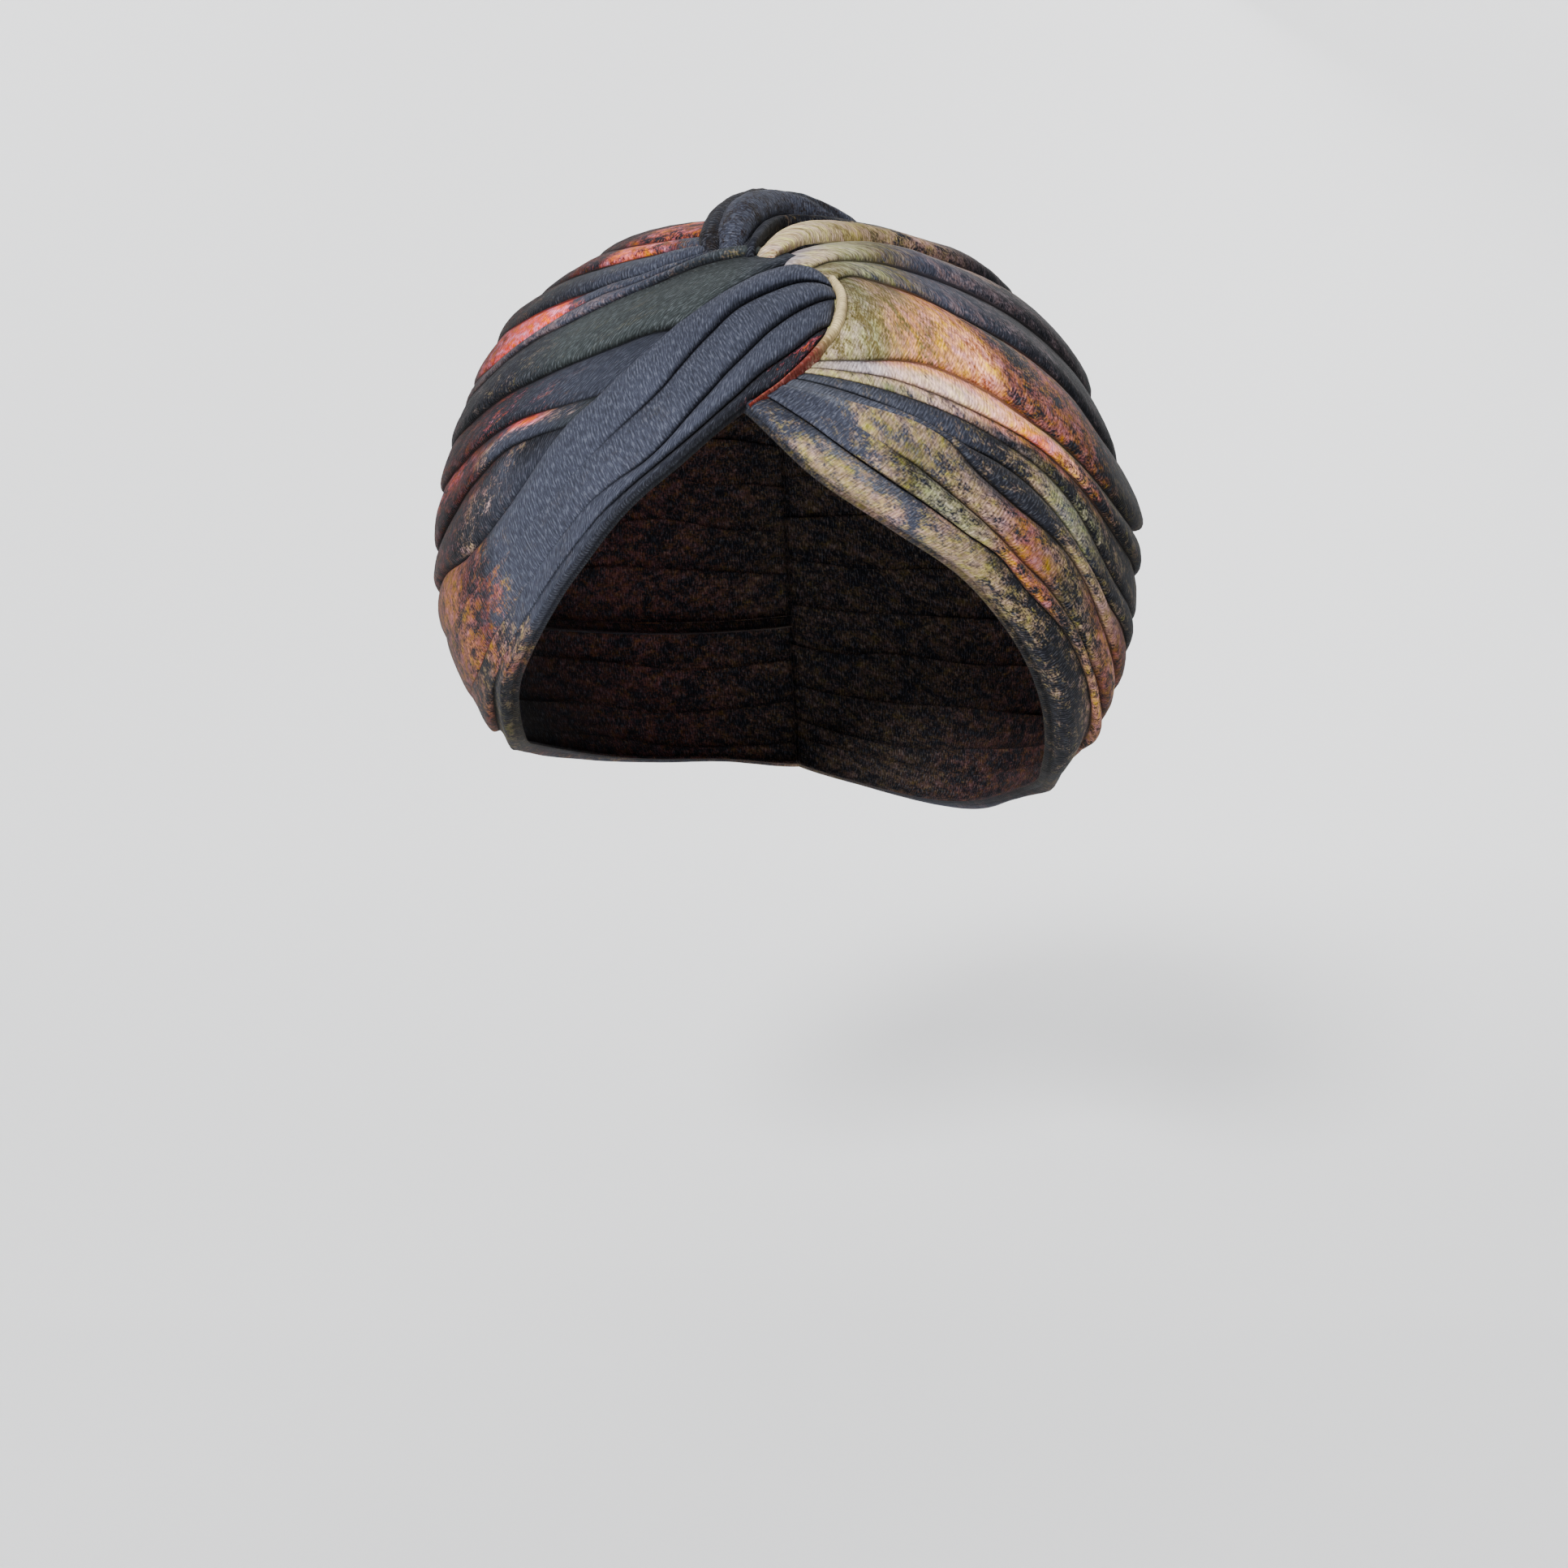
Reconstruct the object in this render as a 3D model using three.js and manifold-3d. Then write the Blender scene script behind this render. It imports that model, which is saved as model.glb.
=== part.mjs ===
import * as THREE from 'three';
import Module from 'manifold-3d';

// Twisted turban hat in soft jersey, in the shape it has on a head.
// Millimetres, +Z up, the face opening looks along -Y.
// The origin is on the inside of the crown, where the hat rests on a head.
// Rows are paths over the head form: pairs of azimuth and elevation in degrees,
// azimuth 0 at the face, 90 at the wearer's left side of the picture's right, 180 at the back seam.

// Head form under the folds
const halfWidth = 91.5;
const halfDepth = 103;
const crownRise = 86;
const napeDrop = 98;
const roundness = 2.15;
const sidewaysLean = 0.055;
const backShift = 8;
const earSwell = 4.5;
const earSwellAngle = -7;
const earSwellSpreadAngle = 19;

// Cloth
const clothWall = 2.3;
const seamGap = 0.4;
const lipWidth = 2.2;
const loopClearance = 0.35;
const trimHeight = 9;
const trimDepth = 16;

const lipHeight = 4;
const foldHeight = 5;
const loopHalfWidth = 5;

// Fold cross-section
const foldFullness = 2.2;
const foldRise = 1.5;

const centre = new THREE.Vector3(0, backShift, clothWall - crownRise);

const colours = {
  slate: '#4a5060',
  darkSlate: '#3a3e4a',
  deepSlate: '#33353f',
  sand: '#a08a6c',
  cream: '#cfc3a0',
};

// Where the knot ends: the wrap comes out here and the lip follows it down to the face
const knotEdge = [
  [12, 44.5], [12.3, 40.5], [11.3, 37], [9.3, 33], [6.5, 29.6],
  [3.6, 26.6], [0.2, 23.6], [-2.4, 21.9], [-4.2, 20.6],
];

const crownLine = [[-4.5, 52.8], [-4.5, 60], [-4, 70], [-2, 80], [180, 86], [180, 70], [180, 56], [180, 44]];

const wrapTop = [
  [12, 44.5], [9.5, 47.2], [6, 48.2], [2.7, 47.4], [-1.5, 45.5], [-6.5, 42], [-11, 38.5], [-15.5, 34.5],
  [-19, 30.5], [-23.5, 25.7], [-27.7, 21.4], [-31, 18.7], [-34, 15.5], [-39, 9.5], [-42.6, 6],
  [-48, 2], [-55, -1.5], [-65, -4], [-80, -8], [-100, -12], [-135, -16], [-180, -16],
];

const rightRows = [
  { row: 'face edge', path: [[-3.4, 19.2], [5, 11], [15, 4], [25, -3], [35, -14], [43, -24], [48, -34],
    [60, -41], [75, -45], [90, -48], [135, -54], [160, -51], [180, -46]] },
  { row: 'edge roll', path: [[-0.2, 21.2], [4.5, 18], [9, 14.5], [15, 10], [20, 6.5], [25, 3], [30, 0],
    [35, -5], [42, -10.5], [53, -20], [70, -32], [90, -40], [135, -46], [180, -40]] },
  { row: 'first fold', path: [[2.6, 23.2], [7, 22], [11.5, 19.5], [17.3, 15.2], [22.4, 12], [28.6, 7.6],
    [34.3, 3.7], [39.5, 0], [44, -5], [55, -14], [72, -25], [90, -31], [135, -36], [180, -32]] },
  { row: 'second fold', path: [[4.2, 24.5], [10, 23], [17, 20.1], [23.6, 16.5], [30, 12.8], [36.6, 7.9],
    [41, 3.9], [45, -0.5], [49, -6], [58, -12], [72, -19], [90, -23], [135, -25], [180, -22]] },
  { row: 'third fold', path: [[5.4, 25.6], [11, 24.9], [21, 22.3], [32, 17.3], [40, 12.6], [45, 8],
    [48.5, 3.5], [51.5, -0.5], [56, -5], [70, -12], [90, -15], [135, -16], [180, -14]] },
  { row: 'fourth fold', path: [[6.4, 26.5], [11.5, 26.3], [17.7, 24.7], [25, 22.3], [33, 19.2],
    [39.5, 15.8],
    [45.5, 11.5], [50, 7.5], [55, 2.4], [61, -1], [72, -5], [90, -7], [135, -7], [180, -6]] },
  { row: 'salmon roll', path: [[7.6, 27.7], [14.5, 27.8], [24.5, 25.9], [30, 24.2], [35, 22.3],
    [41.4, 18.7],
    [47.5, 14.6], [52.5, 10], [58, 6], [70, 2], [90, 1], [135, 1], [180, 2]] },
  { row: 'crown seam', path: [[13.9, 44.6], [18, 44.4], [24.4, 41], [29.6, 36.5], [35.7, 33], [41.3, 31],
    [46.8, 29], [52.3, 25], [59, 19.5], [66, 14], [78, 10], [90, 9], [135, 10], [180, 10]] },
  { row: 'slate ridge', path: [[10.5, 49], [15, 49.6], [22, 47.3], [30, 43.5], [39.6, 38.8], [50, 34],
    [60, 30], [75, 24], [90, 21], [135, 21], [180, 18]] },
  { row: 'mauve ridge', path: [[2.5, 52.4], [9.5, 56.3], [19, 57.5], [31, 57], [46, 55], [65, 51],
    [90, 45], [120, 40], [150, 34], [180, 27]] },
  { row: 'cream roll', path: [[-3.6, 53.2], [0, 60], [9, 65.5], [27, 64.5], [45, 62.5], [65, 60],
    [90, 56], [120, 51],
    [150, 44], [180, 34]] },
  { row: 'back roll', path: [[-4.1, 53.1], [-3, 62], [8, 72], [50, 74], [100, 68], [140, 56], [180, 40]] },
  { row: 'crown line', lift: 0.5, path: crownLine },
];

// smooth is the share of the fold height that is left in a crease along the side,
// lift the share that a free edge keeps
// Fold heights as shares of foldHeight at five places along each fold
const rightFolds = [
  { fold: 'edge roll', across: 4, start: 0.36, near: 0.84, side: 0.84, behind: 0.7, seam: 0.36 },
  { fold: 'first fold', across: 5, start: 0.36, near: 1, side: 1, behind: 0.8, seam: 0.4 },
  { fold: 'second fold', across: 4, start: 0.24, near: 0.6, side: 0.8, behind: 0.7, seam: 0.4 },
  { fold: 'third fold', across: 4, start: 0.16, near: 0.4, side: 0.7, behind: 0.7, seam: 0.4 },
  { fold: 'fourth fold', across: 4, start: 0.14, near: 0.28, side: 0.56, behind: 0.7, seam: 0.4 },
  { fold: 'salmon roll', across: 4, start: 0.16, near: 0.48, side: 0.9, behind: 0.8, seam: 0.4 },
  { fold: 'smooth panel', across: 6, start: 0.4, near: 1.1, side: 1.1, behind: 0.8, seam: 0.4,
    guides: [{ at: 0.25, from: [11.2, 32.4] }, { at: 0.55, from: [14, 38] }, { at: 0.8, from: [14.4, 42] }] },
  { fold: 'slate ridge', across: 4, start: 0.3, near: 0.8, side: 0.8, behind: 0.7, seam: 0.4 },
  { fold: 'mauve ridge', across: 4, start: 0.3, near: 1, side: 1.2, behind: 0.9, seam: 0.4 },
  { fold: 'cream roll', across: 5, start: 0.4, near: 1.2, side: 1.24, behind: 0.8, seam: 0.4 },
  { fold: 'back roll', across: 4, start: 0.16, near: 0.6, side: 0.8, behind: 0.8, seam: 0.4 },
  { fold: 'crown roll', across: 4, start: 0.16, near: 0.6, side: 0.8, behind: 0.8, seam: 0.4 },
];

const leftRows = [
  { row: 'wrap line', path: wrapTop.slice(12) },
  { row: 'ear tuck', path: [[-32.6, 17.6], [-35.5, 17.2], [-38.5, 16.2], [-42, 15.4], [-48, 14],
    [-56, 10], [-68, 4],
    [-85, 0], [-110, -3], [-140, -6], [-180, -8]] },
  { row: 'temple tuck', path: [[-28.2, 21.9], [-33.6, 21.2], [-38, 20.1], [-43, 19], [-48.5, 17.4],
    [-56, 14.5],
    [-70, 10], [-90, 7], [-120, 5], [-150, 2], [-180, 0]] },
  { row: 'main tuck', path: [[-18, 32.4], [-21, 30.8], [-27, 28.8], [-32, 27.2], [-38.5, 25.2], [-46, 22.8],
    [-52, 20.7], [-62, 17.5], [-75, 15.5], [-90, 14.5], [-120, 13], [-150, 10], [-180, 8]] },
  { row: 'broad fold', path: [[-4.9, 52.4], [-11, 50], [-14, 48], [-16.8, 45], [-20.4, 41.5],
    [-27.7, 38], [-34, 34.4],
    [-39, 31], [-45, 27.8], [-51, 25.4], [-60, 23], [-75, 22], [-90, 21.5], [-120, 21], [-150, 18],
    [-180, 15]] },
  { row: 'upper fold', path: [[-4.9, 53.6], [-14, 51], [-19, 47], [-24.5, 44.2], [-31.7, 42.2],
    [-41.4, 40.4],
    [-50, 38.5], [-60, 35], [-75, 32], [-90, 30], [-120, 28], [-150, 25], [-180, 22]] },
  { row: 'crown fold', path: [[-4.9, 55.4], [-15, 53.5], [-21, 51], [-31, 48.5], [-38.5, 47.8], [-50, 46.5],
    [-65, 44], [-90, 40], [-120, 37], [-150, 33], [-180, 30]] },
  { row: 'top fold', path: [[-4.9, 58], [-15, 58.6], [-24, 57.5], [-33, 56], [-45, 55], [-60, 54],
    [-90, 52],
    [-120, 48], [-150, 42], [-180, 37]] },
  { row: 'back roll', path: [[-4.7, 63.5], [-20, 67], [-50, 69], [-90, 67.5], [-130, 61], [-155, 52],
    [-180, 42]] },
  { row: 'crown line', lift: 0.5, path: [[-4.3, 67], ...crownLine.slice(2)] },
];

const leftFolds = [
  { fold: 'ear fold', across: 4, start: 0.16, near: 0.56, side: 0.64, behind: 0.6, seam: 0.4 },
  { fold: 'temple fold', across: 3, start: 0.2, near: 0.44, side: 0.6, behind: 0.6, seam: 0.4 },
  { fold: 'main fold', across: 4, start: 0.24, near: 0.52, side: 0.6, behind: 0.6, seam: 0.4 },
  { fold: 'broad fold', across: 9, start: 0.32, near: 0.64, side: 0.68, behind: 0.6, seam: 0.4,
    guides: [{ at: 0.4, from: [-11.6, 39.3] }, { at: 0.6, from: [-6.8, 42.8] },
      { at: 0.75, from: [-1.5, 46.3] }, { at: 0.86, from: [5.6, 49.3] }, { at: 0.94, from: [2, 51.6] }] },
  { fold: 'upper fold', across: 4, start: 0.3, near: 0.6, side: 0.64, behind: 0.6, seam: 0.4 },
  { fold: 'crown fold', across: 4, start: 0.3, near: 0.6, side: 0.64, behind: 0.6, seam: 0.4 },
  { fold: 'top fold', across: 4, start: 0.3, near: 0.7, side: 0.8, behind: 0.7, seam: 0.4 },
  { fold: 'back roll', across: 4, start: 0.3, near: 0.6, side: 0.7, behind: 0.7, seam: 0.4 },
  { fold: 'crown roll', across: 4, start: 0.3, near: 0.6, side: 0.8, behind: 0.8, seam: 0.4 },
];

const wrapRows = [
  { row: 'face edge', path: [[6.5, 29.6], [3.6, 26.6], [0.2, 23.6], [-3.8, 20.8], [-7, 17.8], [-10.7, 14.4],
    [-17.2, 7.8], [-24, 1.3], [-29.3, -4], [-37.5, -11], [-48, -18], [-53, -22], [-59, -27], [-65, -31],
    [-75, -34.5], [-90, -37.5], [-110, -40.5], [-135, -43.5], [-160, -44.5], [-180, -46]] },
  { row: 'low crease', smooth: 0.5, path: [[9.8, 34], [4.8, 30.3], [1.3, 27.5], [-2, 24.6], [-5, 21.6],
    [-9.5, 17.2], [-13, 13.4],
    [-17, 9.4], [-21.5, 5.2], [-26, 0.9], [-31, -4], [-38, -10], [-47, -16.2], [-57, -22.8],
    [-66, -27.5], [-78, -31],
    [-90, -33], [-110, -36.5], [-135, -39.5], [-180, -41]] },
  { row: 'deep crease', smooth: 0.8, path: [[12.2, 40], [7, 37.2], [2.6, 34.2], [-1, 30.5], [-5, 25.9],
    [-8.5, 22],
    [-12, 17.8], [-15, 14.2], [-19, 9.6], [-24, 4.6], [-31, -2], [-38, -8], [-47, -14.2], [-57, -20],
    [-75, -25], [-100, -29], [-135, -32], [-180, -32]] },
  { row: 'high crease', smooth: 0.95, path: [[12.2, 42.8], [7.6, 42], [1.3, 40.2], [-5.3, 36.5],
    [-9, 33], [-12, 29.5],
    [-15, 25.5], [-19.5, 20], [-25, 14], [-32, 7], [-40, 0], [-50, -6], [-62, -11], [-80, -15.5],
    [-100, -19], [-135, -23], [-180, -24]] },
  { row: 'top edge', lift: 0.45, path: wrapTop },
];

const wrapFolds = [
  { fold: 'face roll', across: 4, start: 0.44, near: 0.64, side: 0.68, behind: 0.72, seam: 0.4 },
  { fold: 'low fold', across: 4, start: 0.68, near: 0.88, side: 0.72, behind: 0.8, seam: 0.4 },
  { fold: 'middle fold', across: 4, start: 0.8, near: 1.08, side: 0.8, behind: 0.9, seam: 0.4 },
  { fold: 'upper fold', across: 4, start: 0.6, near: 0.96, side: 0.84, behind: 1, seam: 0.4 },
];

// Two rolls of cloth that cross the crown behind the knot
// height is the middle of the roll over the head form and half is half its width,
// both as shares of loopHalfWidth
const loopBackLine = [
  { at: [-12.5, 47.5], height: 0.32, half: 0.32 },
  { at: [-14, 51], height: 0.72, half: 0.72 },
  { at: [-13.5, 57], height: 1.04, half: 0.96 },
  { at: [-9, 66], height: 1.16, half: 1 },
  { at: [4, 75], height: 0.96, half: 0.96 },
  { at: [40, 80], height: 0.44, half: 0.52 },
];
const loopFrontLine = [
  { at: [-8.5, 50.6], height: 0.36, half: 0.32 },
  { at: [-8.5, 54], height: 0.76, half: 0.72 },
  { at: [-5.5, 60], height: 1.04, half: 0.92 },
  { at: [4, 67.5], height: 1.08, half: 0.96 },
  { at: [20, 71], height: 0.8, half: 0.84 },
  { at: [38, 71], height: 0.4, half: 0.48 },
];

const stationPlaces = [0, 0.1, 0.35, 0.68, 1];
const wrapFillPlaces = [0, 0.15, 1, 0.5, 0];
const drapeFillPlaces = [0, 0.1, 1, 1, 0.6];

function direction([azimuth, elevation]) {
  const az = THREE.MathUtils.degToRad(azimuth);
  const el = THREE.MathUtils.degToRad(elevation);
  return new THREE.Vector3(Math.sin(az) * Math.cos(el), -Math.cos(az) * Math.cos(el), Math.sin(el));
}

function headRadius(d) {
  const rise = d.z > 0 ? crownRise : napeDrop;
  const sum = Math.abs(d.x / halfWidth) ** roundness
    + Math.abs(d.y / halfDepth) ** roundness
    + Math.abs(d.z / rise) ** roundness;
  return sum ** (-1 / roundness);
}

// The hat is fuller over the ears
function earFullness(d) {
  const el = THREE.MathUtils.radToDeg(Math.asin(Math.max(-1, Math.min(1, d.z))));
  const sideways = (d.x * d.x) / (d.x * d.x + d.y * d.y + 1e-9);
  return earSwell * sideways * Math.exp(-(((el - earSwellAngle) / earSwellSpreadAngle) ** 2));
}

function place(d, height) {
  const p = d.clone().multiplyScalar(headRadius(d) + earFullness(d) + height).add(centre);
  p.x -= sidewaysLean * (p.z - centre.z);
  return p;
}

function pathCurve(path) {
  return new THREE.CatmullRomCurve3(path.map(direction), false, 'centripetal');
}

function alongCurve(curve, share) {
  return curve.getPointAt(Math.min(1, Math.max(0, share))).normalize();
}

function smoothTable(values, share) {
  let i = 0;
  while (i < stationPlaces.length - 2 && share > stationPlaces[i + 1]) {
    i += 1;
  }
  const t = (share - stationPlaces[i]) / (stationPlaces[i + 1] - stationPlaces[i]);
  const s = t * t * (3 - 2 * t);
  return values[i] * (1 - s) + values[i + 1] * s;
}

function foldArch(t) {
  return (1 - Math.abs(2 * t - 1) ** foldFullness) ** (1 / foldRise);
}

function guideShift(guides, low, high, t) {
  if (!guides) {
    return null;
  }
  const stops = [{ at: 0, shift: new THREE.Vector3() }];
  guides.forEach((g) => {
    const plain = low.clone().lerp(high, g.at).normalize();
    stops.push({ at: g.at, shift: direction(g.from).sub(plain) });
  });
  stops.push({ at: 1, shift: new THREE.Vector3() });
  let i = 0;
  while (i < stops.length - 2 && t > stops[i + 1].at) {
    i += 1;
  }
  const part = (t - stops[i].at) / (stops[i + 1].at - stops[i].at);
  return stops[i].shift.clone().lerp(stops[i + 1].shift, part);
}

// A cloth panel: rows are its creases, folds are the rolls between two creases
// creaseFill is the share of the fold height that is left in its inner creases
function panelGrid({ rows, folds, steps, crowd, guideReach, creaseFill, fillPlaces }) {
  const curves = rows.map((r) => pathCurve(r.path));
  const grid = [];
  for (let j = 0; j <= steps; j += 1) {
    const share = (j / steps) ** crowd;
    const line = [];
    const tallness = folds.map((fold) => foldHeight
      * smoothTable([fold.start, fold.near, fold.side, fold.behind, fold.seam], share));
    const filling = smoothTable(fillPlaces, share);
    const creaseHeights = rows.map((row, r) => {
      const neighbour = Math.min(tallness[Math.max(0, r - 1)], tallness[Math.min(folds.length - 1, r)]);
      const inner = r > 0 && r < rows.length - 1;
      const fill = row.smooth || (inner ? creaseFill : 0);
      return neighbour * Math.max(row.lift || 0, fill * filling);
    });
    folds.forEach((fold, f) => {
      const low = alongCurve(curves[f], share);
      const high = alongCurve(curves[f + 1], share);
      const startLow = alongCurve(curves[f], 0);
      const startHigh = alongCurve(curves[f + 1], 0);
      const first = f === 0 ? 0 : 1;
      for (let k = first; k <= fold.across; k += 1) {
        const t = 0.5 - 0.5 * Math.cos((Math.PI * k) / fold.across);
        const d = low.clone().lerp(high, t);
        const shift = guideShift(fold.guides, startLow, startHigh, t);
        if (shift && share < guideReach) {
          d.addScaledVector(shift, (1 - share / guideReach) ** 2);
        }
        const floor = THREE.MathUtils.lerp(creaseHeights[f], creaseHeights[f + 1], t);
        line.push({ d: d.normalize(), height: floor + (tallness[f] - floor) * foldArch(t) });
      }
    });
    grid.push(line);
  }
  return grid;
}

// Draws the rim of the panel in by half the seam gap
function drawInRim(grid, gap) {
  const rows = grid.length;
  const columns = grid[0].length;
  const pull = (edge, inner) => {
    const step = inner.d.clone().sub(edge.d);
    const size = step.length() * headRadius(edge.d);
    edge.d.addScaledVector(step, Math.min(0.45, gap / 2 / size)).normalize();
  };
  for (let j = 0; j < rows; j += 1) {
    pull(grid[j][0], grid[j][1]);
    pull(grid[j][columns - 1], grid[j][columns - 2]);
  }
  for (let k = 0; k < columns; k += 1) {
    pull(grid[0][k], grid[1][k]);
    pull(grid[rows - 1][k], grid[rows - 2][k]);
  }
}

function signedVolume(points, triangles) {
  let volume = 0;
  for (let i = 0; i < triangles.length; i += 3) {
    const a = points[triangles[i]];
    const b = points[triangles[i + 1]];
    const c = points[triangles[i + 2]];
    volume += a.dot(b.clone().cross(c)) / 6;
  }
  return volume;
}

function closedBody(points, triangles) {
  const list = triangles.slice();
  if (signedVolume(points, list) < 0) {
    for (let i = 0; i < list.length; i += 3) {
      [list[i + 1], list[i + 2]] = [list[i + 2], list[i + 1]];
    }
  }
  return { points, triangles: list };
}

function shellBody(grid, outerExtra, depth) {
  const rows = grid.length;
  const columns = grid[0].length;
  const points = [];
  const triangles = [];
  [outerExtra, -depth].forEach((offset) => {
    grid.forEach((line) => line.forEach((cell) => points.push(place(cell.d, cell.height + offset))));
  });
  const count = rows * columns;
  const quad = (a, b, c, d) => triangles.push(a, b, c, a, c, d);
  for (let j = 0; j < rows - 1; j += 1) {
    for (let k = 0; k < columns - 1; k += 1) {
      const a = j * columns + k;
      quad(a, a + 1, a + columns + 1, a + columns);
      quad(count + a, count + a + columns, count + a + columns + 1, count + a + 1);
    }
  }
  const rim = [];
  for (let k = 0; k < columns - 1; k += 1) {
    rim.push(k);
  }
  for (let j = 0; j < rows - 1; j += 1) {
    rim.push(j * columns + columns - 1);
  }
  for (let k = columns - 1; k > 0; k -= 1) {
    rim.push((rows - 1) * columns + k);
  }
  for (let j = rows - 1; j > 0; j -= 1) {
    rim.push(j * columns);
  }
  rim.forEach((from, i) => {
    const to = rim[(i + 1) % rim.length];
    quad(to, from, count + from, count + to);
  });
  return closedBody(points, triangles);
}

function panelBody(shape) {
  const grid = panelGrid(shape);
  drawInRim(grid, seamGap);
  return shellBody(grid, 0, clothWall);
}

// The room that a panel takes, to trim its neighbours by
function roomBody(shape, above) {
  return shellBody(panelGrid(shape), above, trimDepth);
}

// A roll of cloth laid over the crown, oval in section with tapered ends
function rollBody(line, steps, around) {
  const curve = pathCurve(line.map((s) => s.at));
  const shares = line.map((s, i) => i / (line.length - 1));
  const read = (name, share) => {
    let i = 0;
    while (i < shares.length - 2 && share > shares[i + 1]) {
      i += 1;
    }
    const t = (share - shares[i]) / (shares[i + 1] - shares[i]);
    return loopHalfWidth * THREE.MathUtils.lerp(line[i][name], line[i + 1][name], t);
  };
  const points = [];
  const triangles = [];
  for (let j = 0; j <= steps; j += 1) {
    const share = j / steps;
    const d = curve.getPoint(share).normalize();
    const ahead = curve.getPoint(Math.min(1, share + 0.01)).normalize();
    const behind = curve.getPoint(Math.max(0, share - 0.01)).normalize();
    const middle = place(d, read('height', share));
    const travel = ahead.sub(behind).normalize();
    const side = travel.clone().cross(d).normalize();
    const half = read('half', share);
    for (let k = 0; k < around; k += 1) {
      const angle = (2 * Math.PI * k) / around;
      points.push(middle.clone()
        .addScaledVector(side, half * Math.cos(angle))
        .addScaledVector(d, half * Math.sin(angle)));
    }
  }
  for (let j = 0; j < steps; j += 1) {
    for (let k = 0; k < around; k += 1) {
      const next = (k + 1) % around;
      const a = j * around + k;
      const b = j * around + next;
      triangles.push(a, b, b + around, a, b + around, a + around);
    }
  }
  [0, steps].forEach((j) => {
    const cap = new THREE.Vector3();
    for (let k = 0; k < around; k += 1) {
      cap.addScaledVector(points[j * around + k], 1 / around);
    }
    points.push(cap);
    for (let k = 0; k < around; k += 1) {
      const a = j * around + k;
      const b = j * around + ((k + 1) % around);
      if (j === 0) {
        triangles.push(points.length - 1, b, a);
      } else {
        triangles.push(points.length - 1, a, b);
      }
    }
  });
  return closedBody(points, triangles);
}

const wasm = await Module();
wasm.setup();

function toSolid(body) {
  const vertProperties = new Float32Array(body.points.flatMap((p) => [p.x, p.y, p.z]));
  const mesh = new wasm.Mesh({ numProp: 3, vertProperties, triVerts: new Uint32Array(body.triangles) });
  mesh.merge();
  return wasm.Manifold.ofMesh(mesh);
}

function fromSolid(solid) {
  const parts = solid.decompose().sort((a, b) => b.volume() - a.volume());
  const mesh = parts[0].getMesh();
  const points = [];
  for (let i = 0; i < mesh.vertProperties.length; i += mesh.numProp) {
    points.push(new THREE.Vector3(...mesh.vertProperties.slice(i, i + 3)));
  }
  return { points, triangles: Array.from(mesh.triVerts) };
}

// The lip is the turned edge of the right drape that shows round the knot's end
function lipRows() {
  const inner = pathCurve(knotEdge);
  const innerPath = [];
  const outerPath = [];
  const count = 12;
  for (let i = 0; i <= count; i += 1) {
    const share = i / count;
    const d = alongCurve(inner, share);
    const ahead = alongCurve(inner, share + 0.02);
    const behind = alongCurve(inner, share - 0.02);
    const side = ahead.sub(behind).normalize().cross(d).normalize().multiplyScalar(-1);
    const taper = 0.35 + 0.65 * Math.sin(Math.PI * Math.min(1, 0.12 + share * 0.8));
    const near = d.clone().addScaledVector(side, seamGap / headRadius(d));
    const far = near.clone().addScaledVector(side, (lipWidth * taper) / headRadius(d));
    innerPath.push(near.normalize());
    outerPath.push(far.normalize());
  }
  return { innerPath, outerPath };
}

function lipBody(extra, depth, widen) {
  const { innerPath, outerPath } = lipRows();
  const across = 4;
  const grid = innerPath.map((near, i) => {
    const far = outerPath[i].clone().addScaledVector(outerPath[i].clone().sub(near), widen);
    const line = [];
    for (let k = 0; k <= across; k += 1) {
      const t = 0.5 - 0.5 * Math.cos((Math.PI * k) / across);
      const swell = Math.sin(Math.PI * Math.min(1, 0.15 + (i / (innerPath.length - 1)) * 0.75));
      const height = lipHeight * (0.25 + 0.75 * swell) * (0.35 + 0.65 * foldArch(t));
      line.push({ d: near.clone().lerp(far, t).normalize(), height });
    }
    return line;
  });
  return shellBody(grid, extra, depth);
}

const rightShape = { rows: rightRows, folds: rightFolds, steps: 21, crowd: 1.25,
  guideReach: 0.3, creaseFill: 0.5, fillPlaces: drapeFillPlaces };
const leftShape = { rows: leftRows, folds: leftFolds, steps: 18, crowd: 1.2,
  guideReach: 0.3, creaseFill: 0.6, fillPlaces: drapeFillPlaces };
const wrapShape = { rows: wrapRows, folds: wrapFolds, steps: 26, crowd: 1.3,
  guideReach: 0, creaseFill: 0, fillPlaces: wrapFillPlaces };

const lipSpace = toSolid(lipBody(trimHeight, trimDepth, 0.12));
const wrapSpace = toSolid(roomBody(wrapShape, loopClearance));
const wrapTrim = toSolid(roomBody(wrapShape, trimHeight));
const rightSpace = toSolid(roomBody(rightShape, loopClearance));
const rightTrim = toSolid(roomBody(rightShape, trimHeight));
const leftSpace = toSolid(roomBody(leftShape, loopClearance));

const rightSolid = toSolid(panelBody(rightShape)).subtract(lipSpace).subtract(wrapTrim);
const leftSolid = toSolid(panelBody(leftShape)).subtract(wrapTrim).subtract(rightTrim);
const backRoll = toSolid(rollBody(loopBackLine, 14, 12));
const backRollRoom = loopBackLine.map((s) => ({ ...s, half: s.half + seamGap / loopHalfWidth }));
const backRollSpace = toSolid(rollBody(backRollRoom, 14, 12));
const frontRoll = toSolid(rollBody(loopFrontLine, 14, 12));
const loopBackSolid = backRoll.subtract(rightSpace).subtract(leftSpace).subtract(wrapSpace);
const loopFrontSolid = frontRoll.subtract(rightSpace).subtract(leftSpace).subtract(wrapSpace)
  .subtract(backRollSpace);

const group = new THREE.Group();
group.name = 'turban_hat';

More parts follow.
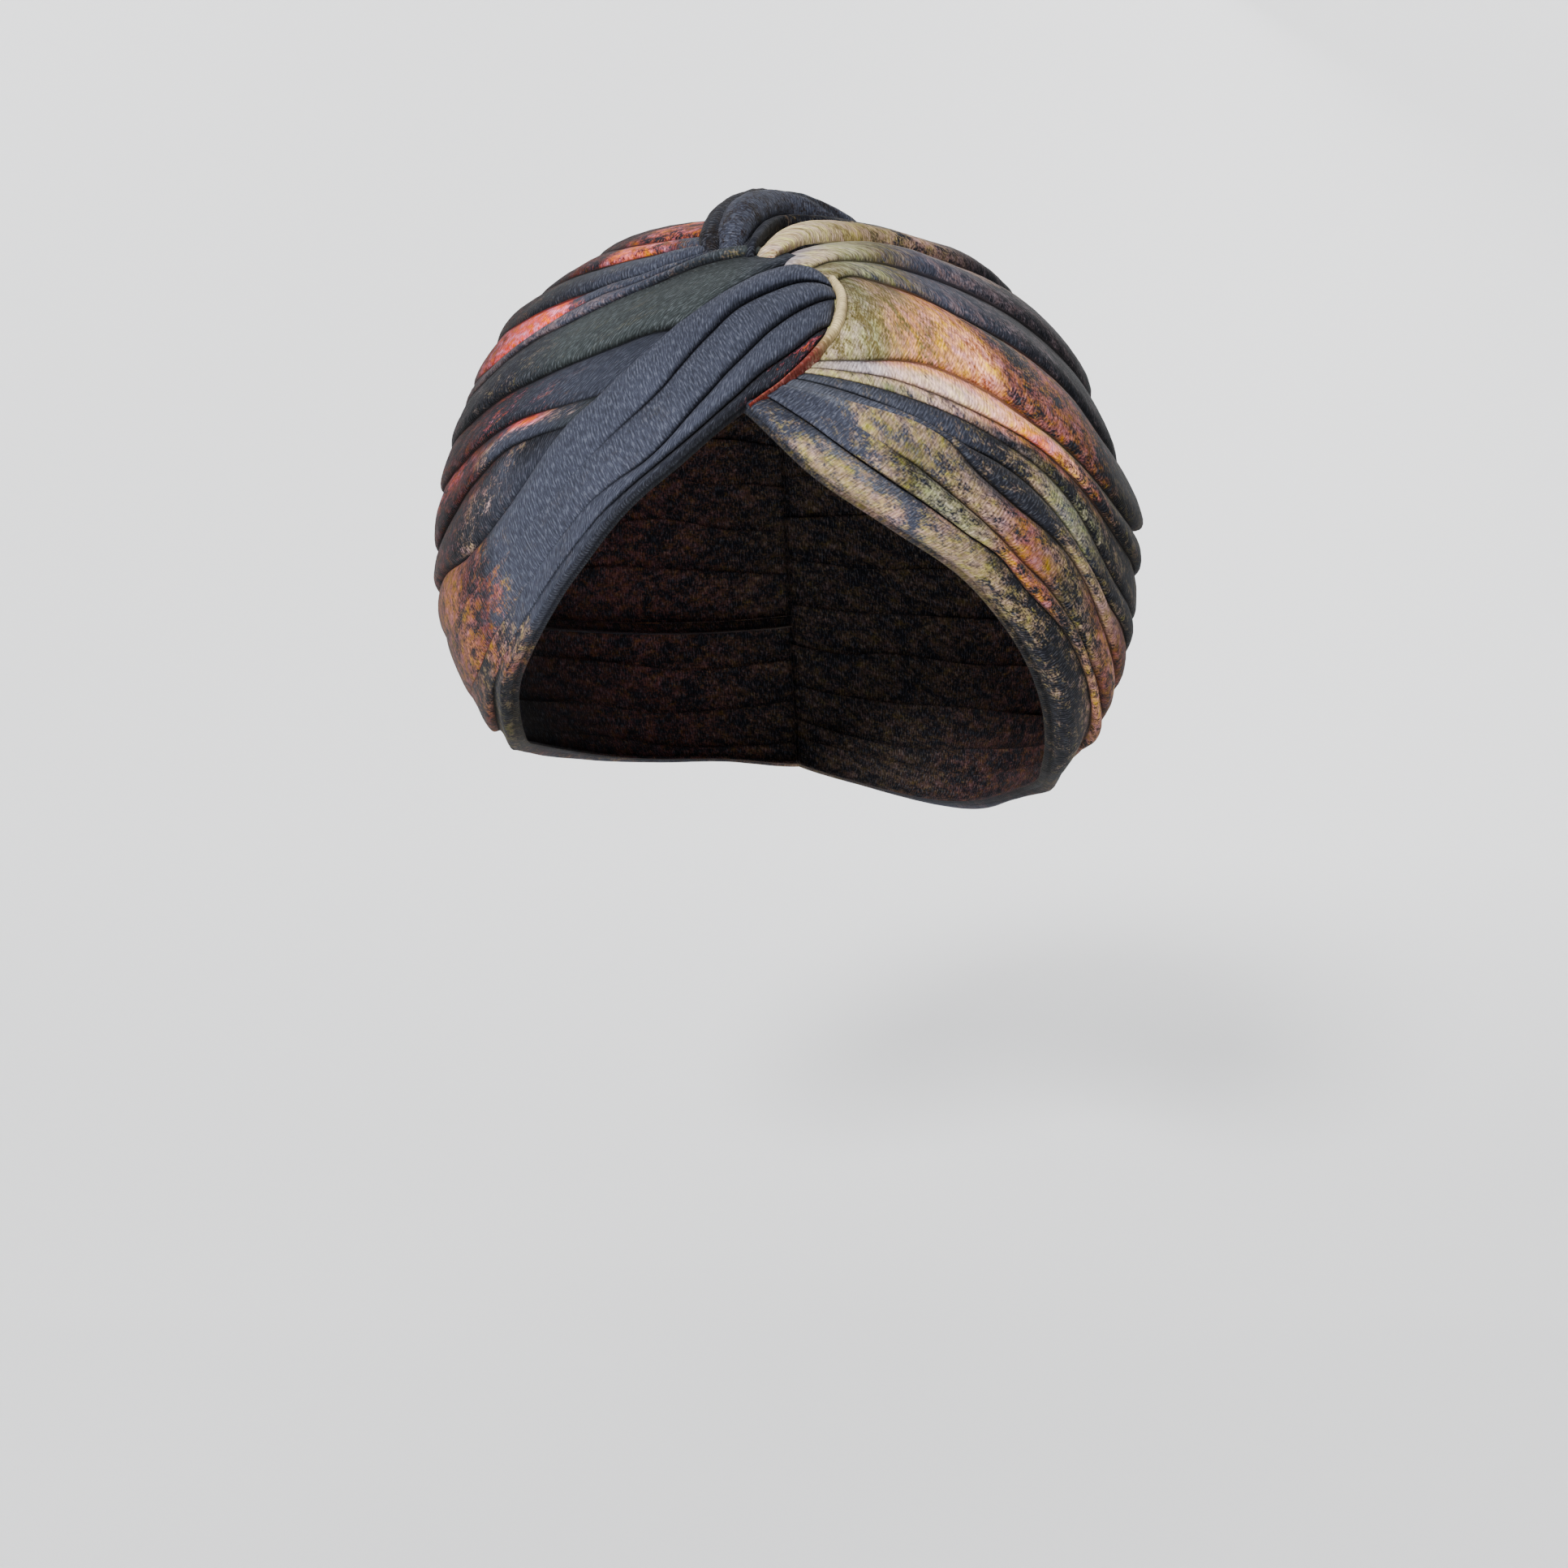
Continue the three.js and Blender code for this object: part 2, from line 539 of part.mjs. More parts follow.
function addPiece(name, body, colour, roughness) {
  const geometry = new THREE.BufferGeometry();
  const corners = body.points.flatMap((p) => [p.x, p.y, p.z]);
  geometry.setAttribute('position', new THREE.Float32BufferAttribute(corners, 3));
  geometry.setIndex(body.triangles);
  geometry.computeVertexNormals();
  const material = new THREE.MeshStandardMaterial({ color: colour, roughness, metalness: 0 });
  const mesh = new THREE.Mesh(geometry, material);
  mesh.name = name;
  group.add(mesh);
}

addPiece('right_drape', fromSolid(rightSolid), colours.sand, 0.9);
addPiece('left_drape', fromSolid(leftSolid), colours.darkSlate, 0.9);
addPiece('left_wrap', panelBody(wrapShape), colours.slate, 0.88);
addPiece('knot_lip', lipBody(0, clothWall, 0), colours.cream, 0.9);
addPiece('twist_loop_back', fromSolid(loopBackSolid), colours.deepSlate, 0.9);
addPiece('twist_loop_front', fromSolid(loopFrontSolid), colours.deepSlate, 0.9);

export default group;
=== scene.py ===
import math

import bmesh
import bpy
import numpy as np
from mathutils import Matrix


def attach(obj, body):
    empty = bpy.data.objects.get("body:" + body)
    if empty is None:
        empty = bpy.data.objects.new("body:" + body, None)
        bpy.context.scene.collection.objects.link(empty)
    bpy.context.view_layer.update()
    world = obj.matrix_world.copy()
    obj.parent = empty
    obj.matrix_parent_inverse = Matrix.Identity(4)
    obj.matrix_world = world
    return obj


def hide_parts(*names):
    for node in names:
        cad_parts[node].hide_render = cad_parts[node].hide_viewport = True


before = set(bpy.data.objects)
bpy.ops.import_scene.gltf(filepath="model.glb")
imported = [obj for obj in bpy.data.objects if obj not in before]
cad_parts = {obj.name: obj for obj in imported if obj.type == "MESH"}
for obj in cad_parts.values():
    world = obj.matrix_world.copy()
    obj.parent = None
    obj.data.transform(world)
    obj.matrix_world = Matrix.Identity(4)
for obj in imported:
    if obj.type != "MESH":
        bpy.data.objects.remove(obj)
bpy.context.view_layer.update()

# Twisted turban hat in soft jersey. Lengths are typed in millimetres and become metres in place().
# Rows are paths over the head form, as azimuth and elevation in degrees. They were moved to the
# photo after the CAD was finished, so they differ from the CAD's.

half_width = 91.5
half_depth = 103.0
crown_rise = 86.0
nape_drop = 98.0
roundness = 2.15
sideways_lean = 0.055
back_shift = 8.0
ear_swell = 4.5
ear_swell_angle = -7.0
ear_swell_spread = 19.0
cloth_wall = 2.3
lip_width = 2.2
lip_height = 4.0
mean_radius = 95.0
centre = np.array([0.0, back_shift, cloth_wall - crown_rise])

knot_edge = [
    (12, 44.5), (12.3, 40.5), (11.3, 37), (9.3, 33), (6.5, 29.6),
    (3.6, 26.6), (0.2, 23.6), (-2.4, 21.9), (-4.2, 20.6)]
crown_line = [(-4.5, 52.8), (-4.5, 60), (-4, 70), (-2, 80), (180, 86), (180, 70), (180, 56), (180, 44)]
wrap_top = [
    (12, 44.5), (9.5, 47.2), (6, 48.2), (2.7, 47.4), (-1.5, 45.5), (-6.5, 42), (-11, 38.5), (-15.5, 34.5),
    (-19, 30.5), (-23.5, 25.7), (-27.7, 21.4), (-31, 18.7), (-34, 15.5), (-39, 9.5), (-42.6, 6),
    (-48, 2), (-55, -1.5), (-65, -4), (-80, -8), (-100, -12), (-135, -16), (-180, -16)]

right_rows = [
    ("face edge", [(-3.4, 19.4), (5, 11), (15, 4), (25, -2.6), (31.8, -9), (38, -15.6), (45, -23.6),
        (52, -31), (60, -37.5), (75, -43.5), (90, -47.5), (135, -54), (160, -51), (180, -46)]),
    ("edge roll", [(-0.2, 21.2), (4.5, 18), (9, 14.5), (15, 10), (20, 6.5), (25, 3), (30, 0), (35, -5),
        (42, -10.5), (53, -20), (70, -32), (90, -40), (135, -46), (180, -40)]),
    ("pleat", [(1.3, 22.3), (6, 19.8), (10.5, 17), (15, 14), (19, 11.8), (24, 7.9), (29.8, 3), (33.8, -0.8),
        (39, -5), (43, -9), (50, -15.5), (60, -22), (72, -28.5), (90, -35.5), (135, -41), (180, -36)]),
    ("first fold", [(2.6, 23.2), (7, 21.9), (12, 20.2), (19, 17.6), (23.8, 15), (26.5, 12.5), (30.5, 9),
        (34.2, 6.2), (38.8, 3.2), (42.8, 0.2), (46.5, -3.5), (49.8, -7.2), (53.2, -10.8), (60, -16),
        (72, -22.5), (90, -29), (135, -33), (180, -29)]),
    ("second fold", [(4.2, 24.5), (10, 22.9), (17, 20.1), (22.8, 17.2), (26.8, 15), (31.5, 12.9), (36, 10.3),
        (40.2, 7), (44.2, 3.1), (47.5, -0.5), (51, -4), (55, -7.5), (62, -11), (74, -16.5), (90, -21.5),
        (135, -24), (180, -21)]),
    ("third fold", [(5.4, 25.5), (10.5, 24.5), (19, 22.1), (28.2, 18.7), (34.5, 15.5), (38.8, 13.2),
        (42.5, 10.7), (46.5, 7.2), (50, 3.2), (53.5, -0.8), (59, -5), (72, -10.5), (90, -14), (135, -15.5),
        (180, -13.5)]),
    ("fourth fold", [(6.4, 26.4), (11.5, 25.8), (17, 24.9), (22.8, 23), (29.8, 20.2), (34.8, 18.1),
        (39.5, 16), (42.8, 14.2), (47, 11.5), (52.5, 7.5), (58, 3.2), (65, -0.5), (76, -4), (90, -6),
        (135, -6.5), (180, -5.5)]),
    ("salmon roll", [(7.6, 27.8), (14.5, 27.7), (20, 27.7), (24.5, 27), (30, 25.1), (35, 22.8), (41, 19.1),
        (46, 16.5), (51.5, 12.9), (57, 9.2), (64, 5.5), (74, 3), (90, 1.8), (135, 1.5), (180, 2.5)]),
    ("crown seam", [(13.9, 44.8), (17.8, 46.2), (21.5, 45.4), (26, 43.3), (30, 41.3), (36.5, 37.4),
        (44.8, 33.2), (53, 28.8), (58, 25.6), (61.5, 21.8), (66, 18), (76, 14), (90, 11.5), (135, 11),
        (180, 10)]),
    ("slate ridge", [(10.5, 49), (15, 51), (22, 51), (31, 49.3), (40, 46.5), (48, 43.3), (56, 39.4),
        (63, 35), (72, 29), (90, 24), (135, 22), (180, 18)]),
    ("mauve ridge", [(2.5, 52.4), (9.5, 56.3), (19, 57.5), (31, 57), (46, 55), (65, 51), (90, 45), (120, 40),
        (150, 34), (180, 27)]),
    ("cream roll", [(-3.6, 54), (0.2, 60.4), (8.5, 65.8), (27, 65), (45, 62.5), (65, 60), (90, 56),
        (120, 51), (150, 44), (180, 34)]),
    ("back roll", [(-6.3, 53.6), (-4, 60.5), (2, 67.5), (13, 73), (50, 74.5), (100, 68), (140, 56),
        (180, 40)]),
    ("crown line", [(-7.4, 54), (-5.6, 61)] + crown_line[2:]),
]
# name, samples across, height in mm at start, near, side, behind, seam, overhang in mm
right_folds = [
    ("edge roll", 15, 1.8, 4.2, 4.2, 3.5, 1.8, 0.3),
    ("pleat fold", 13, 1.8, 4.4, 4.6, 3.8, 2.0, 1.1),
    ("first fold", 15, 1.8, 4.8, 5.0, 4.0, 2.0, 0.9),
    ("second fold", 13, 1.4, 3.6, 4.4, 3.5, 2.0, 0.9),
    ("third fold", 13, 0.8, 2.0, 3.5, 3.5, 2.0, 0.9),
    ("fourth fold", 13, 0.7, 1.4, 2.8, 3.5, 2.0, 0.8),
    ("salmon roll", 13, 0.8, 2.4, 4.5, 4.0, 2.0, 0.9),
    ("smooth panel", 19, 2.0, 5.5, 5.5, 4.0, 2.0, 1.0),
    ("slate ridge", 13, 1.5, 4.0, 4.0, 3.5, 2.0, 0.7),
    ("mauve ridge", 15, 1.5, 5.0, 6.0, 4.5, 2.0, 0.9),
    ("cream roll", 15, 4.2, 6.0, 6.2, 4.0, 2.0, 1.0),
    ("back roll", 13, 4.5, 5.5, 4.6, 4.0, 2.0, 0.8),
    ("crown roll", 13, 2.4, 4.0, 4.0, 4.0, 2.0, 0.8),
]
right_guides = {"smooth panel": [(0.25, (11.2, 32.4)), (0.55, (14, 38)), (0.8, (14.4, 42))]}

left_rows = [
    ("wrap line", wrap_top[12:]),
    ("ear tuck", [(-32.4, 17.9), (-35.5, 17.4), (-38.5, 16.8), (-42, 16), (-45, 15.2), (-48.5, 13.6),
        (-52, 11.6), (-57, 8.8), (-63, 5), (-72, 1), (-85, -2), (-110, -4), (-140, -6), (-180, -8)]),
    ("temple tuck", [(-27.9, 22.4), (-31, 21.8), (-34, 21.2), (-38, 20.5), (-43, 19.5), (-48.5, 18),
        (-56, 15.4), (-62, 13), (-72, 10), (-90, 7.5), (-120, 5), (-150, 2), (-180, 0)]),
    ("main tuck", [(-17.2, 33.4), (-21.5, 32.6), (-26.8, 30.6), (-32, 28.7), (-37.8, 27), (-42.2, 25.6),
        (-50, 23.5), (-56, 21.4), (-63, 19), (-75, 16.5), (-90, 15.5), (-120, 13.5), (-150, 10.5),
        (-180, 8)]),
    ("broad fold", [(-4.9, 52.4), (-11, 50.8), (-15, 49.4), (-18.5, 47.6), (-21.5, 45.3), (-25, 43),
        (-29.5, 40.8), (-35.8, 37.6), (-41, 35.2), (-46.5, 33.2), (-52, 30.6), (-58.5, 27.6), (-66, 25),
        (-78, 23.5), (-90, 22.5), (-120, 21.5), (-150, 18.5), (-180, 15.5)]),
    ("upper fold", [(-4.9, 56), (-13, 53.6), (-18, 50), (-24, 45.5), (-29, 43.2), (-34.8, 41.4),
        (-39.5, 39.4), (-43, 37.5), (-46.5, 35.4), (-51, 33.2), (-57, 30.8), (-64, 28.6), (-76, 27.2),
        (-90, 26.5), (-120, 25.5), (-150, 22.5), (-180, 19.5)]),
    ("crown fold", [(-4.9, 57.2), (-13, 54.8), (-19, 51), (-25.8, 47.6), (-31, 46), (-36, 44.6),
        (-41.8, 42.8), (-49, 40.6), (-55.2, 39), (-62, 37.4), (-75, 36), (-90, 34.5), (-120, 32), (-150, 29),
        (-180, 26)]),
    ("top fold", [(-4.9, 59), (-13, 57.4), (-20.2, 55.8), (-31.5, 54), (-41.2, 52), (-48, 50.2), (-56, 48.4),
        (-70, 46.5), (-90, 44.5), (-120, 41.5), (-150, 37.5), (-180, 33)]),
    ("back roll", [(-4.7, 63.5), (-14, 63.6), (-23, 62.8), (-33, 61.6), (-45, 60.2), (-60, 59), (-90, 57.5),
        (-120, 53.5), (-150, 47), (-180, 39)]),
    ("crown line", [(-4.3, 67)] + crown_line[2:]),
]
left_folds = [
    ("ear fold", 13, 0.8, 2.8, 3.2, 3.0, 2.0, 0.4),
    ("temple fold", 13, 1.0, 2.2, 3.0, 3.0, 2.0, 1.0),
    ("main fold", 15, 1.2, 2.6, 3.0, 3.0, 2.0, 1.0),
    ("broad fold", 21, 3.4, 3.8, 3.4, 3.0, 2.0, 1.0),
    ("upper fold", 13, 3.2, 3.2, 3.2, 3.0, 2.0, 0.8),
    ("crown fold", 13, 1.5, 3.0, 3.2, 3.0, 2.0, 0.8),
    ("top fold", 13, 1.5, 3.5, 4.0, 3.5, 2.0, 0.8),
    ("back roll", 13, 1.5, 3.0, 3.5, 3.5, 2.0, 0.8),
    ("crown roll", 13, 1.5, 3.0, 4.0, 4.0, 2.0, 0.8),
]
left_guides = {"broad fold": [(0.4, (-11.6, 39.3)), (0.6, (-6.8, 43.6)), (0.75, (-1.5, 48.2)),
                              (0.86, (5.8, 52)), (0.94, (2, 54.6))]}

wrap_rows = [
    ("face edge", [(6.5, 29.6), (3.6, 26.6), (0.2, 23.6), (-3.8, 21.2), (-8.5, 17.5), (-13.8, 12.9),
        (-20, 8), (-23.5, 4.8), (-26.8, 1.4), (-29.4, -1.3), (-32.6, -4.4), (-35.5, -7.4), (-39.2, -11),
        (-43.7, -15), (-48.7, -19), (-54, -23.4), (-59.5, -27.8), (-66, -31.8), (-76, -35), (-90, -37.5),
        (-110, -40.5), (-135, -43.5), (-160, -44.5), (-180, -46)]),
    ("low crease", [(9.8, 34), (7.8, 33), (3.2, 29.4), (-2, 25.6), (-5.4, 22.2), (-11, 17), (-15.8, 12.9),
        (-20.6, 9), (-24, 6), (-27.6, 2.4), (-31, -1), (-36.5, -6.6), (-44.5, -13.4), (-50, -17.6),
        (-57, -22.4), (-64, -26.5), (-76, -30.5), (-90, -33), (-110, -36.5), (-135, -39.5), (-180, -41)]),
    ("deep crease", [(12.2, 40), (9.5, 39.2), (4.8, 36.8), (-0.2, 32.8), (-4, 28.6), (-7, 25.2),
        (-9.2, 22.5), (-11.8, 19.5), (-15, 15.6), (-18, 12.7), (-22, 10), (-26, 7), (-30.5, 2.6),
        (-36, -2.6), (-42, -8), (-48, -12.4), (-57, -18.5), (-75, -25), (-100, -29), (-135, -32),
        (-180, -32)]),
    ("high crease", [(12.2, 43), (8.8, 43.8), (5.2, 43.5), (0.5, 41.4), (-6.2, 36.8), (-9.8, 32.4),
        (-12.5, 29), (-14.5, 26.2), (-16.4, 23.4), (-18.6, 20.8), (-22, 17.4), (-26.5, 13), (-32, 7.6),
        (-40, 0.8), (-50, -5.6), (-62, -11), (-80, -15.5), (-100, -19), (-135, -23), (-180, -24)]),
    ("top edge", wrap_top),
]
wrap_folds = [
    ("face roll", 15, 2.2, 3.2, 3.4, 3.6, 2.0, 0.3),
    ("low fold", 17, 3.4, 4.4, 3.6, 4.0, 2.0, 1.0),
    ("middle fold", 19, 4.0, 5.4, 4.0, 4.5, 2.0, 1.0),
    ("upper fold", 21, 3.0, 4.8, 4.2, 5.0, 2.0, 1.1),
]
# Share of a fold's height that is left in each crease, where the table below lets it be so.
wrap_fill = [0.0, 0.97, 0.97, 0.97, 0.0]
wrap_lift = {4: 0.45}
wrap_fill_table = ([0, 0.13, 0.27, 0.6, 1], [0.15, 0.42, 1, 0.95, 0.6])
right_fill = [0.0] + [0.5] * 8 + [0.75] + [0.5] * 3 + [0.0]
right_lift = {12: 0.8, 13: 0.5}
right_late = {2: 0.1, 3: 0.13}
left_fill = [0.0, 0.4, 0.55, 0.68, 0.82, 0.85, 0.85, 0.85, 0.8, 0.0]
left_lift = {5: 0.75, 9: 0.5}
drape_fill_table = ([0, 0.1, 0.35, 0.68, 1], [0, 0.3, 1, 1, 0.6])

height_places = [0, 0.1, 0.35, 0.68, 1]


# small mathematics

def direction(az, el):
    a, e = np.radians(az), np.radians(el)
    return np.stack([np.sin(a) * np.cos(e), -np.cos(a) * np.cos(e), np.sin(e)], -1)


def unit(v):
    return v / np.linalg.norm(v, axis=-1, keepdims=True)


def head_radius(d):
    rise = np.where(d[..., 2] > 0, crown_rise, nape_drop)
    return (np.abs(d[..., 0] / half_width) ** roundness + np.abs(d[..., 1] / half_depth) ** roundness
            + np.abs(d[..., 2] / rise) ** roundness) ** (-1 / roundness)


def ear_fullness(d):
    el = np.degrees(np.arcsin(np.clip(d[..., 2], -1, 1)))
    sideways = d[..., 0] ** 2 / (d[..., 0] ** 2 + d[..., 1] ** 2 + 1e-9)
    return ear_swell * sideways * np.exp(-((el - ear_swell_angle) / ear_swell_spread) ** 2)


def place(d, height):
    """Point over the head form, in metres."""
    p = d * (head_radius(d) + ear_fullness(d) + height)[..., None] + centre
    p[..., 0] -= sideways_lean * (p[..., 2] - centre[2])
    return p * 0.001


def smoothstep(x, a, b):
    t = np.clip((x - a) / (b - a), 0, 1)
    return t * t * (3 - 2 * t)


def table_value(places, values, share):
    out = np.full(np.shape(share), float(values[0]))
    for i in range(len(places) - 1):
        s = smoothstep(share, places[i], places[i + 1])
        out = np.where(share >= places[i], values[i] * (1 - s) + values[i + 1] * s, out)
    return out


def noise(x, y, seed):
    """Smooth value noise from -1 to 1."""
    grid = np.random.default_rng(seed).random((61, 67))
    xi, yi = np.floor(x).astype(int), np.floor(y).astype(int)
    xf, yf = x - xi, y - yi
    sx, sy = xf * xf * (3 - 2 * xf), yf * yf * (3 - 2 * yf)

    def at(i, j):
        return grid[(xi + i) % 61, (yi + j) % 67]
    low = at(0, 0) * (1 - sx) + at(1, 0) * sx
    high = at(0, 1) * (1 - sx) + at(1, 1) * sx
    return 2 * (low * (1 - sy) + high * sy) - 1


def rough_noise(x, y, seed, octaves=3):
    total, size, weight = 0, 1.0, 0.0
    for i in range(octaves):
        total = total + noise(x * 2 ** i, y * 2 ** i, seed + 17 * i) * size
        weight += size
        size *= 0.55
    return total / weight


def curve_points(path, shares):
    """Centripetal Catmull-Rom curve through a row's directions, read at shares of its length."""
    p = direction(*np.array(path, float).T)
    ext = np.vstack([2 * p[0] - p[1], p, 2 * p[-1] - p[-2]])
    s = np.linspace(0, 1, 60, endpoint=False)[:, None]
    dense = []
    for i in range(len(p) - 1):
        a, b, c, d = ext[i:i + 4]
        t0, t1, t2 = [max(1e-6, np.linalg.norm(q - r) ** 0.5) for q, r in ((b, a), (c, b), (d, c))]
        m1 = ((b - a) / t0 - (c - a) / (t0 + t1) + (c - b) / t1) * t1
        m2 = ((c - b) / t1 - (d - b) / (t1 + t2) + (d - c) / t2) * t1
        square = (-3 * b + 3 * c - 2 * m1 - m2) * s ** 2
        cube = (2 * b - 2 * c + m1 + m2) * s ** 3
        dense.append(b + m1 * s + square + cube)
    dense = np.vstack(dense + [p[-1:]])
    length = np.concatenate([[0], np.cumsum(np.linalg.norm(np.diff(dense, axis=0), axis=1))])
    want = np.clip(shares, 0, 1) * length[-1]
    return unit(np.stack([np.interp(want, length, dense[:, k]) for k in range(3)], -1))


# colours, in sRGB bytes as they look in daylight

paint = {
    "slate": (95, 98, 110), "light slate": (119, 122, 131), "dark slate": (67, 69, 78),
    "green slate": (90, 95, 96), "navy": (51, 53, 62), 
    "tan": (172, 154, 122), "cream": (214, 200, 166), "sage": (172, 170, 142), "ochre": (212, 160, 108),
    "olive": (136, 126, 90), "salmon": (248, 190, 146), "pink": (232, 204, 186), "coral": (228, 54, 60),
    "brick": (136, 72, 62), "mauve": (138, 124, 128), "rust": (176, 118, 80), "lilac": (208, 198, 202),
    "orange": (228, 120, 74), "dusty": (184, 156, 136), "gold": (198, 138, 72),
    "umber": (66, 56, 52), "red brick": (148, 92, 84), "bark": (112, 96, 82), "sienna": (128, 88, 78),
}


def linear(name):
    """The dye's own colour, a little deeper than the cloth looks under the lights."""
    c = np.array(paint[name]) / 255.0
    c = np.where(c <= 0.04045, c / 12.92, ((c + 0.055) / 1.055) ** 2.4)
    return 1.1 * c ** 1.6


# Stops near the back seam that several folds share.
rear_slate = "135 slate/mauve 0.15, 180 slate/tan 0.6"
rear_navy = "130 navy/sienna 0.6, 180 dark slate/dusty 0.5"
rear_sage = "140 slate/sage 0.5, 180 slate/tan 0.1"
rear_tan = "125 dark slate/tan 0.6, 180 navy/brick 0.5"
rear_dusty = "145 slate/dusty 0.2, 180 slate/sage 0.55"
rear_brown = "130 slate/tan 0.5, 180 dark slate/brick 0.4"
rear_brick = "140 navy/brick 0.4, 180 slate/tan 0.55"
left_rear_slate = "-180 slate/tan 0.5, -145 slate/mauve 0.1, "
left_rear_navy = "-180 slate/dusty 0.1, -140 navy/brick 0.55, "
left_rear_tan = "-180 navy/brick 0.5, -140 slate/tan 0.5, "
left_rear_dusty = "-180 dark slate/dusty 0.6, -150 slate/tan 0.15, "

